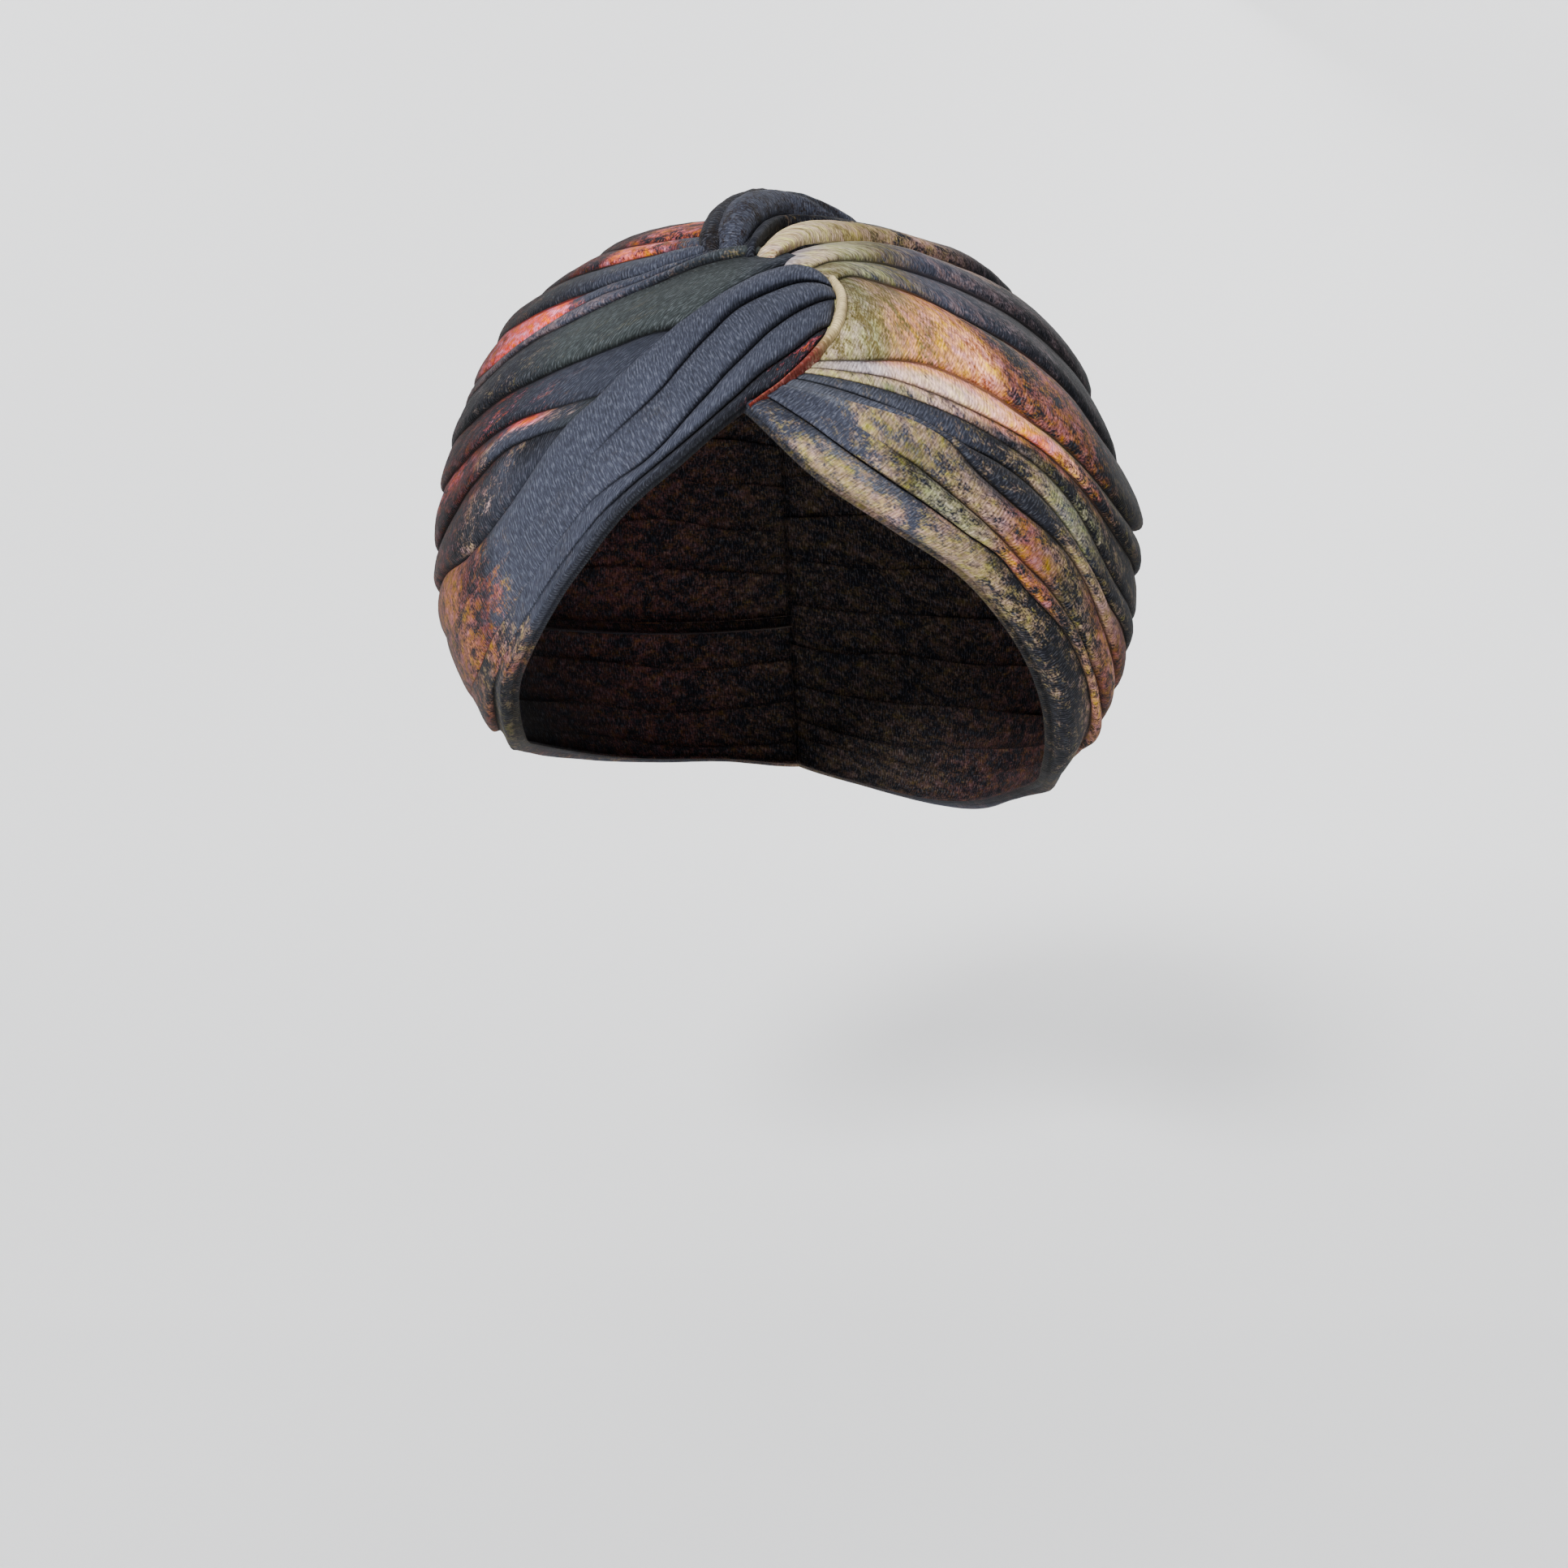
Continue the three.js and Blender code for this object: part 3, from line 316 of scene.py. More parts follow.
# Each fold's print: stops along it, each with its azimuth, ground/stain and the share that the stain covers.
# A fold may have two bands, one along its low side and one along its high side.
right_print = {
    "edge roll": [
        "-4 slate/tan 0.1, 3 slate/tan 0.5, 9 slate/tan 0.72, 14 slate/dusty 0.55, "
        "17 slate/tan 0.3, 20 slate/tan 0.65, 28 dark slate/tan 0.7, 33 navy/tan 0.4, "
        "38 navy/tan 0.1, 60 navy/tan 0.15, 90 dark slate/sienna 0.3, " + rear_slate,
        "-4 slate/tan 0.05, 4 slate/tan 0.15, 9 light slate/tan 0.25, 17 slate/tan 0.1, "
        "20 slate/dusty 0.5, 25 slate/tan 0.6, 30 dark slate/olive 0.4, 34 navy/tan 0.2, "
        "40 navy/tan 0.1, 60 navy/dusty 0.4, 90 dark slate/sienna 0.3, " + rear_navy],
    "pleat fold": [
        "0 slate/tan 0.02, 9 slate/tan 0.05, 13 slate/tan 0.5, 17 dark slate/olive 0.6, "
        "21 dark slate/sage 0.55, 28 dark slate/tan 0.6, 32 dark slate/gold 0.6, "
        "36 navy/rust 0.5, 42 navy/tan 0.3, 60 navy/salmon 0.5, 90 dark slate/bark 0.45, " + rear_sage],
    "first fold": [
        "0 slate/tan 0.02, 8 slate/tan 0.08, 12 slate/tan 0.6, 18 slate/olive 0.65, "
        "23 dark slate/tan 0.45, 28 dark slate/dusty 0.55, 34 dark slate/rust 0.6, "
        "41 navy/olive 0.55, 46 navy/tan 0.25, 54 navy/rust 0.55, 90 dark slate/bark 0.45, " + rear_tan,
        "0 light slate/tan 0.02, 8 light slate/tan 0.05, 12 slate/tan 0.6, "
        "18 slate/tan 0.7, 24 slate/tan 0.6, 29 dark slate/mauve 0.45, "
        "34 dark slate/rust 0.5, 42 navy/tan 0.45, 50 navy/rust 0.5, 60 navy/salmon 0.6, "
        "90 dark slate/bark 0.45, " + rear_dusty],
    "second fold": [
        "0 light slate/tan 0.02, 18 slate/tan 0.1, 28 dark slate/tan 0.05, "
        "40 dark slate/tan 0.06, 45 dark slate/tan 0.6, 52 dark slate/dusty 0.7, "
        "60 navy/rust 0.6, 70 navy/rust 0.4, 90 dark slate/sienna 0.3, " + rear_slate],
    "third fold": [
        "0 light slate/tan 0.02, 24 slate/tan 0.06, 33 dark slate/tan 0.15, "
        "38 dark slate/tan 0.6, 44 slate/sage 0.6, 51 navy/olive 0.45, 58 navy/tan 0.15, "
        "90 dark slate/sienna 0.35, " + rear_navy],
    "fourth fold": [
        "0 olive/cream 0.75, 12 olive/cream 0.8, 17 slate/sage 0.8, 24 slate/pink 0.65, "
        "29 slate/dusty 0.6, 35 dark slate/mauve 0.5, 42 navy/olive 0.35, 50 navy/sage 0.3, "
        "57 navy/tan 0.1, 90 dark slate/sienna 0.35, " + rear_sage,
        "0 olive/cream 0.8, 14 slate/cream 0.8, 20 slate/pink 0.8, 28 mauve/pink 0.65, "
        "34 mauve/salmon 0.5, 42 dark slate/rust 0.6, 48 navy/rust 0.5, 56 navy/tan 0.25, "
        "90 dark slate/sienna 0.35, " + rear_tan],
    "salmon roll": [
        "0 olive/cream 0.9, 14 mauve/lilac 0.85, 20 mauve/pink 0.95, 28 mauve/pink 1, "
        "36 rust/salmon 0.95, 41 rust/orange 0.7, 47 dark slate/salmon 0.5, "
        "53 navy/rust 0.3, 60 navy/tan 0.2, 90 dark slate/sienna 0.3, " + rear_dusty,
        "0 olive/cream 0.9, 14 mauve/lilac 0.8, 20 mauve/salmon 0.95, 32 rust/salmon 1, "
        "40 rust/salmon 0.9, 46 olive/tan 0.6, 52 navy/olive 0.4, 58 navy/tan 0.2, "
        "90 dark slate/sienna 0.3, " + rear_slate],
    "smooth panel": [
        "8 olive/cream 0.6, 16 olive/sage 0.45, 21 olive/ochre 0.45, 26 olive/ochre 0.55, "
        "33 rust/salmon 0.6, 38 dark slate/rust 0.55, 44 dark slate/rust 0.45, "
        "54 navy/rust 0.4, 62 navy/olive 0.2, 90 dark slate/sienna 0.3, " + rear_navy,
        "8 olive/cream 0.6, 16 olive/sage 0.4, 20 olive/dusty 0.5, 24 olive/dusty 0.55, "
        "29 rust/ochre 0.55, 34 umber/gold 0.55, 38 dark slate/rust 0.35, 42 navy/tan 0.1, "
        "46 dark slate/rust 0.55, 54 dark slate/rust 0.45, 61 navy/rust 0.15, "
        "90 dark slate/sienna 0.3, " + rear_sage],
    "slate ridge": [
        "5 olive/cream 0.6, 15 olive/sage 0.55, 21 slate/sage 0.65, 27 slate/olive 0.5, "
        "34 slate/mauve 0.25, 50 dark slate/mauve 0.25, 60 navy/mauve 0.2, "
        "90 dark slate/mauve 0.3, " + rear_brown],
    "mauve ridge": [
        "0 olive/cream 0.7, 12 mauve/cream 0.6, 20 olive/sage 0.75, 28 slate/olive 0.6, "
        "38 slate/mauve 0.4, 55 dark slate/mauve 0.45, 70 navy/mauve 0.3, "
        "90 dark slate/mauve 0.3, " + rear_brick,
        "0 mauve/lilac 0.85, 8 mauve/lilac 0.75, 18 olive/sage 0.75, 28 slate/tan 0.6, "
        "45 slate/dusty 0.6, 60 dark slate/dusty 0.6, 78 navy/mauve 0.3, "
        "110 navy/rust 0.25, " + rear_brown],
    "cream roll": [
        "-4 rust/cream 0.8, 10 olive/cream 0.65, 25 olive/tan 0.7, 36 dark slate/tan 0.45, "
        "48 dark slate/dusty 0.6, 66 dark slate/mauve 0.4, 90 navy/mauve 0.25, " + rear_brick,
        "-4 rust/cream 0.9, 12 rust/cream 0.75, 20 rust/dusty 0.7, 27 navy/olive 0.4, "
        "36 navy/tan 0.12, 70 navy/tan 0.1, 100 navy/rust 0.25, " + rear_brown],
    "back roll": [
        "-4 dark slate/tan 0, 8 navy/tan 0.05, 60 navy/tan 0.15, 120 navy/rust 0.3, " + rear_tan],
    "crown roll": [
        "-4 dark slate/tan 0, 60 dark slate/tan 0.2, 120 navy/rust 0.3, " + rear_dusty],
}
left_print = {
    "ear fold": [
        left_rear_slate + "-110 dark slate/sienna 0.35, -80 navy/rust 0.5, -66 navy/brick 0.4, "
        "-58 navy/brick 0.3, -50 dark slate/pink 0.02, -30 slate/pink 0",
        left_rear_navy + "-110 dark slate/sienna 0.35, -80 navy/brick 0.4, -62 navy/brick 0.3, "
        "-53 dark slate/brick 0.35, -48 dark slate/brick 0.35, -43 slate/dusty 0.15, "
        "-40 dark slate/pink 0.02, -30 slate/pink 0"],
    "temple fold": [
        left_rear_tan + "-110 dark slate/sienna 0.35, -80 navy/brick 0.4, -62 navy/brick 0.5, "
        "-54 dark slate/brick 0.45, -48 slate/pink 0.05, -38 slate/pink 0, -28 green slate/pink 0",
        left_rear_dusty + "-110 dark slate/sienna 0.35, -80 navy/brick 0.4, -62 navy/coral 0.5, "
        "-54 dark slate/brick 0.5, -48 slate/brick 0.3, -44 slate/coral 0.6, -39 slate/coral 0.7, "
        "-35 slate/pink 0.1, -28 green slate/pink 0"],
    "main fold": [
        left_rear_slate + "-110 dark slate/sienna 0.35, -80 navy/brick 0.5, -62 navy/brick 0.4, "
        "-54 dark slate/brick 0.3, -46 dark slate/coral 0.06, -30 slate/tan 0.02, -18 slate/tan 0"],
    "broad fold": [
        left_rear_navy + "-110 dark slate/sienna 0.35, -80 navy/brick 0.3, -60 navy/mauve 0.15, "
        "-48 dark slate/tan 0.05, -36 green slate/tan 0.02, -22 green slate/olive 0.03, "
        "-8 green slate/tan 0, 10 slate/tan 0.02"],
    "upper fold": [
        left_rear_tan + "-110 dark slate/sienna 0.35, -75 navy/brick 0.6, -60 dark slate/mauve 0.5, "
        "-45 slate/mauve 0.5, -30 slate/mauve 0.25, -5 green slate/tan 0.02"],
    "crown fold": [
        left_rear_dusty + "-110 dark slate/sienna 0.35, -72 navy/brick 0.6, -62 brick/coral 0.6, "
        "-56 coral/coral 1, -47 coral/coral 1, -43 slate/coral 0.55, -39 slate/mauve 0.15, "
        "-5 slate/tan 0.02"],
    "top fold": [
        left_rear_slate + "-120 dark slate/mauve 0.3, -80 navy/brick 0.3, -62 navy/brick 0.2, "
        "-50 dark slate/tan 0.02, -30 slate/tan 0.02, -5 slate/tan 0.02"],
    "back roll": [
        left_rear_navy + "-120 dark slate/mauve 0.3, -75 navy/brick 0.4, -58 navy/brick 0.5, "
        "-50 dark slate/brick 0.4, -44 brick/orange 0.65, -34 dark slate/orange 0.5, "
        "-27 slate/brick 0.35, -18 slate/tan 0.02, -5 slate/brick 0.02"],
    "crown roll": [
        left_rear_tan + "-120 dark slate/mauve 0.3, -60 navy/brick 0.4, -40 dark slate/orange 0.35, "
        "-20 dark slate/brick 0.4, -5 dark slate/tan 0"],
}
wrap_print = {
    "face roll": [
        left_rear_dusty + "-100 dark slate/sienna 0.35, -75 navy/tan 0.3, -58 navy/olive 0.3, "
        "-51 navy/tan 0.1, -47 dark slate/rust 0.45, -42 dark slate/dusty 0.4, -38 slate/tan 0.02, "
        "-10 dark slate/tan 0, 0 dark slate/coral 0.05, 7 dark slate/coral 0.1"],
    "low fold": [
        left_rear_slate + "-100 dark slate/sienna 0.35, -75 navy/rust 0.4, -60 navy/rust 0.4, "
        "-54 navy/tan 0.1, -49 navy/rust 0.5, -44 dark slate/dusty 0.4, -40 slate/tan 0.02, "
        "12 slate/tan 0"],
    "middle fold": [
        left_rear_navy + "-100 dark slate/sienna 0.35, -75 navy/rust 0.4, -62 navy/rust 0.55, "
        "-57 navy/gold 0.5, -52 navy/rust 0.5, -48 dark slate/brick 0.5, -44 slate/rust 0.3, "
        "-40 slate/tan 0.02, 12 slate/tan 0"],
    "upper fold": [
        left_rear_tan + "-100 dark slate/sienna 0.35, -78 navy/rust 0.5, -68 navy/rust 0.6, "
        "-61 navy/gold 0.7, -56 navy/rust 0.6, -51 navy/brick 0.45, -47 dark slate/rust 0.2, "
        "-43 slate/dusty 0.04, -38 slate/tan 0, 12 slate/tan 0"],
}
inside_print = [
    "-180 navy/bark 0.4, -150 navy/sienna 0.4, -110 navy/umber 0.5, -60 navy/umber 0.6, "
    "0 navy/umber 0.5, 60 navy/umber 0.6, 110 navy/sienna 0.4, 150 navy/bark 0.4, 180 navy/bark 0.4"]


def read_stops(text):
    """Stops such as '28 dark slate/tan 0.7', with commas between them, in order of azimuth."""
    stops = []
    for stop in text.split(","):
        at, rest = stop.strip().split(" ", 1)
        names, cover = rest.rsplit(" ", 1)
        ground, stain = names.split("/")
        stops.append((float(at), ground, stain, float(cover)))
    return sorted(stops, key=lambda stop: stop[0])


def read_print(bands, az, t):
    """Ground, stain and cover at each point of a fold."""
    results = []
    for band in bands:
        stops = read_stops(band)
        at = [s[0] for s in stops]
        ground = np.stack([np.interp(az, at, [linear(s[1])[k] for s in stops]) for k in range(3)], -1)
        stain = np.stack([np.interp(az, at, [linear(s[2])[k] for s in stops]) for k in range(3)], -1)
        results.append((ground, stain, np.interp(az, at, [s[3] for s in stops])))
    if len(results) == 1:
        return results[0]
    w = smoothstep(t, 0.3, 0.7)
    low, high = results
    return (low[0] * (1 - w[:, None]) + high[0] * w[:, None],
            low[1] * (1 - w[:, None]) + high[1] * w[:, None],
            low[2] * (1 - w) + high[2] * w)


# cloth panels

def fold_profile(t, peak=0.25):
    """Height across a fold: a steep low side that hangs over the next fold and a gentle high side."""
    low = (1 - np.clip(np.abs(1 - t / peak), 0, 1) ** 2.3) ** (1 / 1.6)
    high = 1 - np.clip((t - peak) / (1 - peak), 0, 1) ** 2.1
    return np.where(t < peak, low, high)


def guide_shift(guides, low, high, t):
    stops = [(0.0, np.zeros(3))]
    for at, to in guides:
        stops.append((at, direction(*to) - unit(low * (1 - at) + high * at)))
    stops.append((1.0, np.zeros(3)))
    return np.array([np.interp(t, [s[0] for s in stops], [s[1][k] for s in stops]) for k in range(3)])


def panel(rows, folds, steps, crowd, guides, fill, fill_table, lift, late, seed):
    """Directions, heights and fold places of a cloth panel."""
    guide_reach = 0.3
    share = (np.arange(steps + 1) / steps) ** crowd
    curves = [curve_points(path, share) for _, path in rows]
    count = len(folds)
    hidden = smoothstep(share, 0.3, 0.6)
    for r in range(1, count):
        across = unit(curves[r + 1] - curves[r - 1])
        amount = 0.25 + 1.5 * hidden * (1 - smoothstep(share, 0.9, 1))
        drift = amount * noise(share * 11 + r * 4.3, share * 0 + r, seed + 5)
        curves[r] = unit(curves[r] + across * (drift / mean_radius)[:, None])
    tall = []
    for f, fold in enumerate(folds):
        swell = 1 + (0.14 + 0.3 * hidden) * noise(share * 13 + f * 3.7, share * 0 + f * 1.3, seed)
        tall.append(table_value(height_places, fold[2:7], share) * swell)
    filling = table_value(*fill_table, share)
    crease = []
    for r in range(count + 1):
        near = np.minimum(tall[max(0, r - 1)], tall[min(count - 1, r)])
        raised = np.maximum(lift.get(r, 0.0), fill[r] * filling)
        if r in late:
            raised = np.maximum(raised, 1 - smoothstep(share, late[r] - 0.04, late[r] + 0.05))
        crease.append(near * raised)
    dirs, heights, which, places = [], [], [], []
    for f, fold in enumerate(folds):
        across = fold[1]
        low, high = curves[f], curves[f + 1]
        step = unit(high - low)
        for k in range(0 if f == 0 else 1, across + 1):
            t = 0.5 - 0.5 * math.cos(math.pi * k / across)
            d = low * (1 - t) + high * t
            if fold[0] in guides:
                shift = guide_shift(guides[fold[0]], low[0], high[0], t)
                d = d + shift * (np.clip(1 - share / guide_reach, 0, 1) ** 2)[:, None]
            wander = 0.35 * noise(share * 22 + f * 5.1, share * 0 + t * 1.5 + f * 7, seed + 3)
            over = fold[7] * np.clip(tall[f] / 3.0, 0, 1.3) * (1 - crease[f] / (tall[f] + 1e-6))
            lean = -over * (t / 0.13) * math.exp(1 - t / 0.13) * (1 if 0 < t < 1 else 0)
            if f == 0:
                lean = lean * 0
            d = d + step * ((lean + wander * math.sin(math.pi * t)) / mean_radius)[:, None]
            floor = crease[f] * (1 - t) + crease[f + 1] * t
            body = (tall[f] - floor) * fold_profile(np.full(len(share), t))
            ripple = 0.28 * rough_noise(share * 30 + f * 11, share * 0 + t * 2.2 + f * 5, seed + 9)
            dirs.append(unit(d))
            heights.append(floor + body + ripple * math.sin(math.pi * t) ** 0.5)
            which.append(f)
            places.append(t)
    return (np.stack(dirs, 1), np.stack(heights, 1), np.array(which), np.array(places))


def extend(D, H, side, reach, drop, count=4):
    """Carries the cloth on past one side of the panel by reach mm, turned down by drop mm."""
    if side in ("start", "end"):
        edge, inner = (D[0], D[1]) if side == "start" else (D[-1], D[-2])
        h = H[0] if side == "start" else H[-1]
    else:
        edge, inner = (D[:, 0], D[:, 1]) if side == "low" else (D[:, -1], D[:, -2])
        h = H[:, 0] if side == "low" else H[:, -1]
    out = unit(edge - inner)
    lines, levels = [], []
    for i in range(1, count + 1):
        s = i / count
        lines.append(unit(edge + out * (reach * math.sin(s * math.pi / 2) / mean_radius)))
        levels.append(h - drop * (1 - math.cos(s * math.pi / 2)))
    if side == "start":
        return np.concatenate([np.stack(lines[::-1]), D]), np.concatenate([np.stack(levels[::-1]), H])
    if side == "end":
        return np.concatenate([D, np.stack(lines)]), np.concatenate([H, np.stack(levels)])
    if side == "low":
        return (np.concatenate([np.stack(lines[::-1], 1), D], 1),
                np.concatenate([np.stack(levels[::-1], 1), H], 1))
    return np.concatenate([D, np.stack(lines, 1)], 1), np.concatenate([H, np.stack(levels, 1)], 1)


def make_object(name, points, quads, uv, ground, stain):
    mesh = bpy.data.meshes.new(name)
    mesh.vertices.add(len(points))
    mesh.vertices.foreach_set("co", points.astype(np.float32).ravel())
    mesh.loops.add(len(quads) * 4)
    mesh.loops.foreach_set("vertex_index", quads.astype(np.int32).ravel())
    mesh.polygons.add(len(quads))
    mesh.polygons.foreach_set("loop_start", np.arange(0, len(quads) * 4, 4, dtype=np.int32))
    mesh.polygons.foreach_set("use_smooth", np.ones(len(quads), dtype=bool))
    mesh.update(calc_edges=True)
    mesh.validate()
    layer = mesh.uv_layers.new(name="cloth")
    index = np.empty(len(mesh.loops), dtype=np.int32)
    mesh.loops.foreach_get("vertex_index", index)
    layer.data.foreach_set("uv", uv[index].astype(np.float32).ravel())
    for label, values in (("ground", ground), ("stain", stain)):
        attribute = mesh.color_attributes.new(name=label, type="FLOAT_COLOR", domain="POINT")
        attribute.data.foreach_set("color", values.astype(np.float32).ravel())
    obj = bpy.data.objects.new(name, mesh)
    bpy.context.collection.objects.link(obj)
    return obj


def shell_quads(rows, columns):
    j, k = np.meshgrid(np.arange(rows - 1), np.arange(columns - 1), indexing="ij")
    a = (j * columns + k).ravel()
    count = rows * columns
    outer = np.stack([a, a + 1, a + columns + 1, a + columns], 1)
    inner = np.stack([count + a, count + a + columns, count + a + columns + 1, count + a + 1], 1)
    rim = np.concatenate([
        np.arange(columns - 1), np.arange(rows - 1) * columns + columns - 1,
        (rows - 1) * columns + np.arange(columns - 1, 0, -1), np.arange(rows - 1, 0, -1) * columns])
    to = np.roll(rim, -1)
    side = np.stack([to, rim, count + rim, count + to], 1)
    return np.concatenate([outer, inner, side])


def signed_volume(points, quads):
    a, b, c, d = (points[quads[:, i]] for i in range(4))
    return (np.einsum("ij,ij->i", a, np.cross(b, c)) + np.einsum("ij,ij->i", a, np.cross(c, d))).sum()


def closed_shell(outer, inner):
    """Points and outward quads of a closed sheet."""
    points = np.concatenate([outer.reshape(-1, 3), inner.reshape(-1, 3)])
    quads = shell_quads(*outer.shape[:2])
    if signed_volume(points, quads) < 0:
        quads = quads[:, ::-1]
    return points, quads


def cloth_shell(name, D, H, wall, which, places, names, prints, seed, crease_shade_floor=0.55, hem=0):
    """Closed sheet of cloth with its print and painted shade in colour attributes and its weave direction in
    UVs.
    """
    rows, columns = H.shape
    even = H.copy()
    for _ in range(14):
        even[:, 1:-1] = (even[:, :-2] + 2 * even[:, 1:-1] + even[:, 2:]) / 4
    inner_height = np.minimum(H - 1.3, 0.35 * H + 0.65 * even - wall)
    inner_height[:, [0, -1]] = (H - wall)[:, [0, -1]]
    if hem:
        inner_height[:, :hem] = inner_height[:, hem:hem + 1]
    outer, inner = place(D, H), place(D, inner_height)
    points, quads = closed_shell(outer, inner)
    # weave coordinates in metres: u along the folds and v across them
    middle = columns // 2
    along = np.concatenate([[0], np.cumsum(np.linalg.norm(np.diff(outer[:, middle], axis=0), axis=1))])
    across = np.concatenate([np.zeros((rows, 1)),
                             np.cumsum(np.linalg.norm(np.diff(outer, axis=1), axis=2), axis=1)], 1)
    u = np.broadcast_to(along[:, None], (rows, columns)) + which[None, :] * 0.137
    v = across + which[None, :] * 0.071
    uv = np.stack([u, v], -1).reshape(-1, 2)
    uv = np.concatenate([uv, uv + 0.5])
    az = np.degrees(np.arctan2(D[..., 0], -D[..., 1]))
    el = np.degrees(np.arcsin(np.clip(D[..., 2], -1, 1)))
    if name.startswith("left"):
        az = np.where(az > 90, az - 360, az)
    else:
        az = np.where(az < -90, az + 360, az)
    jitter = 2.6 * rough_noise(u * 90, v * 130, seed, 4)
    t = np.clip(places[None, :] + 0.28 * rough_noise(u * 70, v * 160, seed + 5, 4), 0, 1)
    ground = np.zeros((rows, columns, 4))
    stain = np.zeros((rows, columns, 4))
    for f, fold_name in enumerate(names):
        at = np.where(which == f)[0]
        if len(at) == 0:
            continue
        g, s, cover = read_print(prints[fold_name], (az + jitter)[:, at].ravel(), t[:, at].ravel())
        ground[:, at, :3] = g.reshape(rows, len(at), 3)
        stain[:, at, :3] = s.reshape(rows, len(at), 3)
        stain[:, at, 3] = cover.reshape(rows, len(at))
    # painted shade: darker at the bottom of the creases and in a thin line under each overlapping edge, by
    # its depth
    shade_tone = crease_shade_floor + (1 - crease_shade_floor) * smoothstep(H / 4.0, 0.0, 0.7)
    for f in range(1, len(names)):
        at = np.where(which == f)[0]
        edge = across[:, at[0] - 1:at[0]]
        depth = H[:, at].max(1) - H[:, at[0] - 1]
        strength = 0.6 * np.clip((depth - 0.3) / 1.6, 0, 1)
        shade_tone = shade_tone * (1 - strength[:, None] * np.exp(-((across - edge) / 0.0007) ** 2))
    # painted shade: darker round the sides, which turn away from the front lights, less so towards the nape,
    # and at the turned-in edge
    side_shade = smoothstep(np.abs(az), 42, 68) - 0.6 * smoothstep(np.abs(az), 80, 115)
    shade_tone = shade_tone * (1 - 0.58 * side_shade)
    # painted shade under the turned-in edge
    if hem:
        shade_tone[:, :hem + 1] *= 0.55
    ground[..., 3] = shade_tone
    gi, si, ci = read_print(inside_print, (az + 3 * jitter).ravel(), t.ravel())
    inside_ground = np.concatenate([gi, np.full((rows * columns, 1), 0.95)], 1)
    inside_stain = np.concatenate([si, ci[:, None]], 1)
    ground = np.concatenate([ground.reshape(-1, 4), inside_ground])
    stain = np.concatenate([stain.reshape(-1, 4), inside_stain])
    return make_object(name, points, quads, uv, ground, stain)


def widen(which, places, low, high):
    """Fold numbers and places for lines added below and above the panel."""
    w = np.concatenate([np.full(low, which[0]), which, np.full(high, which[-1])])
    p = np.concatenate([np.full(low, places[0]), places, np.full(high, places[-1])])
    return w, p


def build_right():
    D, H, w, p = panel(right_rows, right_folds, 230, 1.25, right_guides, right_fill,
                              drape_fill_table, right_lift, right_late, seed=11)
    D, H = extend(D, H, "start", 4.6, 3.0 + 3.5 * (w > 9))
    D, H = extend(D, H, "end", 0.5, 2.0, 3)
    D, H = extend(D, H, "low", 0.9, 1.7, 4)
    D, H = extend(D, H, "high", 0.6, 2.0, 3)
    w, p = widen(w, p, 4, 3)
    names = [fold[0] for fold in right_folds]
    return cloth_shell("right_drape_cloth", D, H, cloth_wall, w, p, names, right_print, 101, hem=4)


def build_left():
    D, H, w, p = panel(left_rows, left_folds, 190, 1.2, left_guides, left_fill,
                              drape_fill_table, left_lift, {}, seed=23)
    D, H = extend(D, H, "start", 3.4, 2.6)
    D, H = extend(D, H, "end", 0.5, 2.0, 3)
    D, H = extend(D, H, "low", 3.4, 2.6, 4)
    D, H = extend(D, H, "high", 0.6, 2.0, 3)
    w, p = widen(w, p, 4, 3)
    names = [fold[0] for fold in left_folds]
    return cloth_shell("left_drape_cloth", D, H, cloth_wall, w, p, names, left_print, 202)


def build_wrap():
    D, H, w, p = panel(wrap_rows, wrap_folds, 280, 1.3, {}, wrap_fill,
                              wrap_fill_table, wrap_lift, {}, seed=31)
    # the knot end turns down in a soft round
    steps = np.linalg.norm(np.diff(D[:, D.shape[1] // 2], axis=0), axis=1)
    along = np.concatenate([[0], np.cumsum(steps)]) * mean_radius
    round_end = np.sqrt(1 - (1 - np.clip(along / 7.0, 0, 1)) ** 2)
    H = H * (0.25 + 0.75 * round_end)[:, None]
    D, H = extend(D, H, "start", 0.8, 3.0, 4)
    D, H = extend(D, H, "end", 0.5, 2.0, 3)
    D, H = extend(D, H, "low", 0.9, 1.7, 4)
    D, H = extend(D, H, "high", 0.5, 1.6, 3)
    w, p = widen(w, p, 4, 3)
    names = [fold[0] for fold in wrap_folds]
    return cloth_shell("left_wrap_cloth", D, H, cloth_wall, w, p, names, wrap_print, 303,
                       crease_shade_floor=0.6, hem=4)


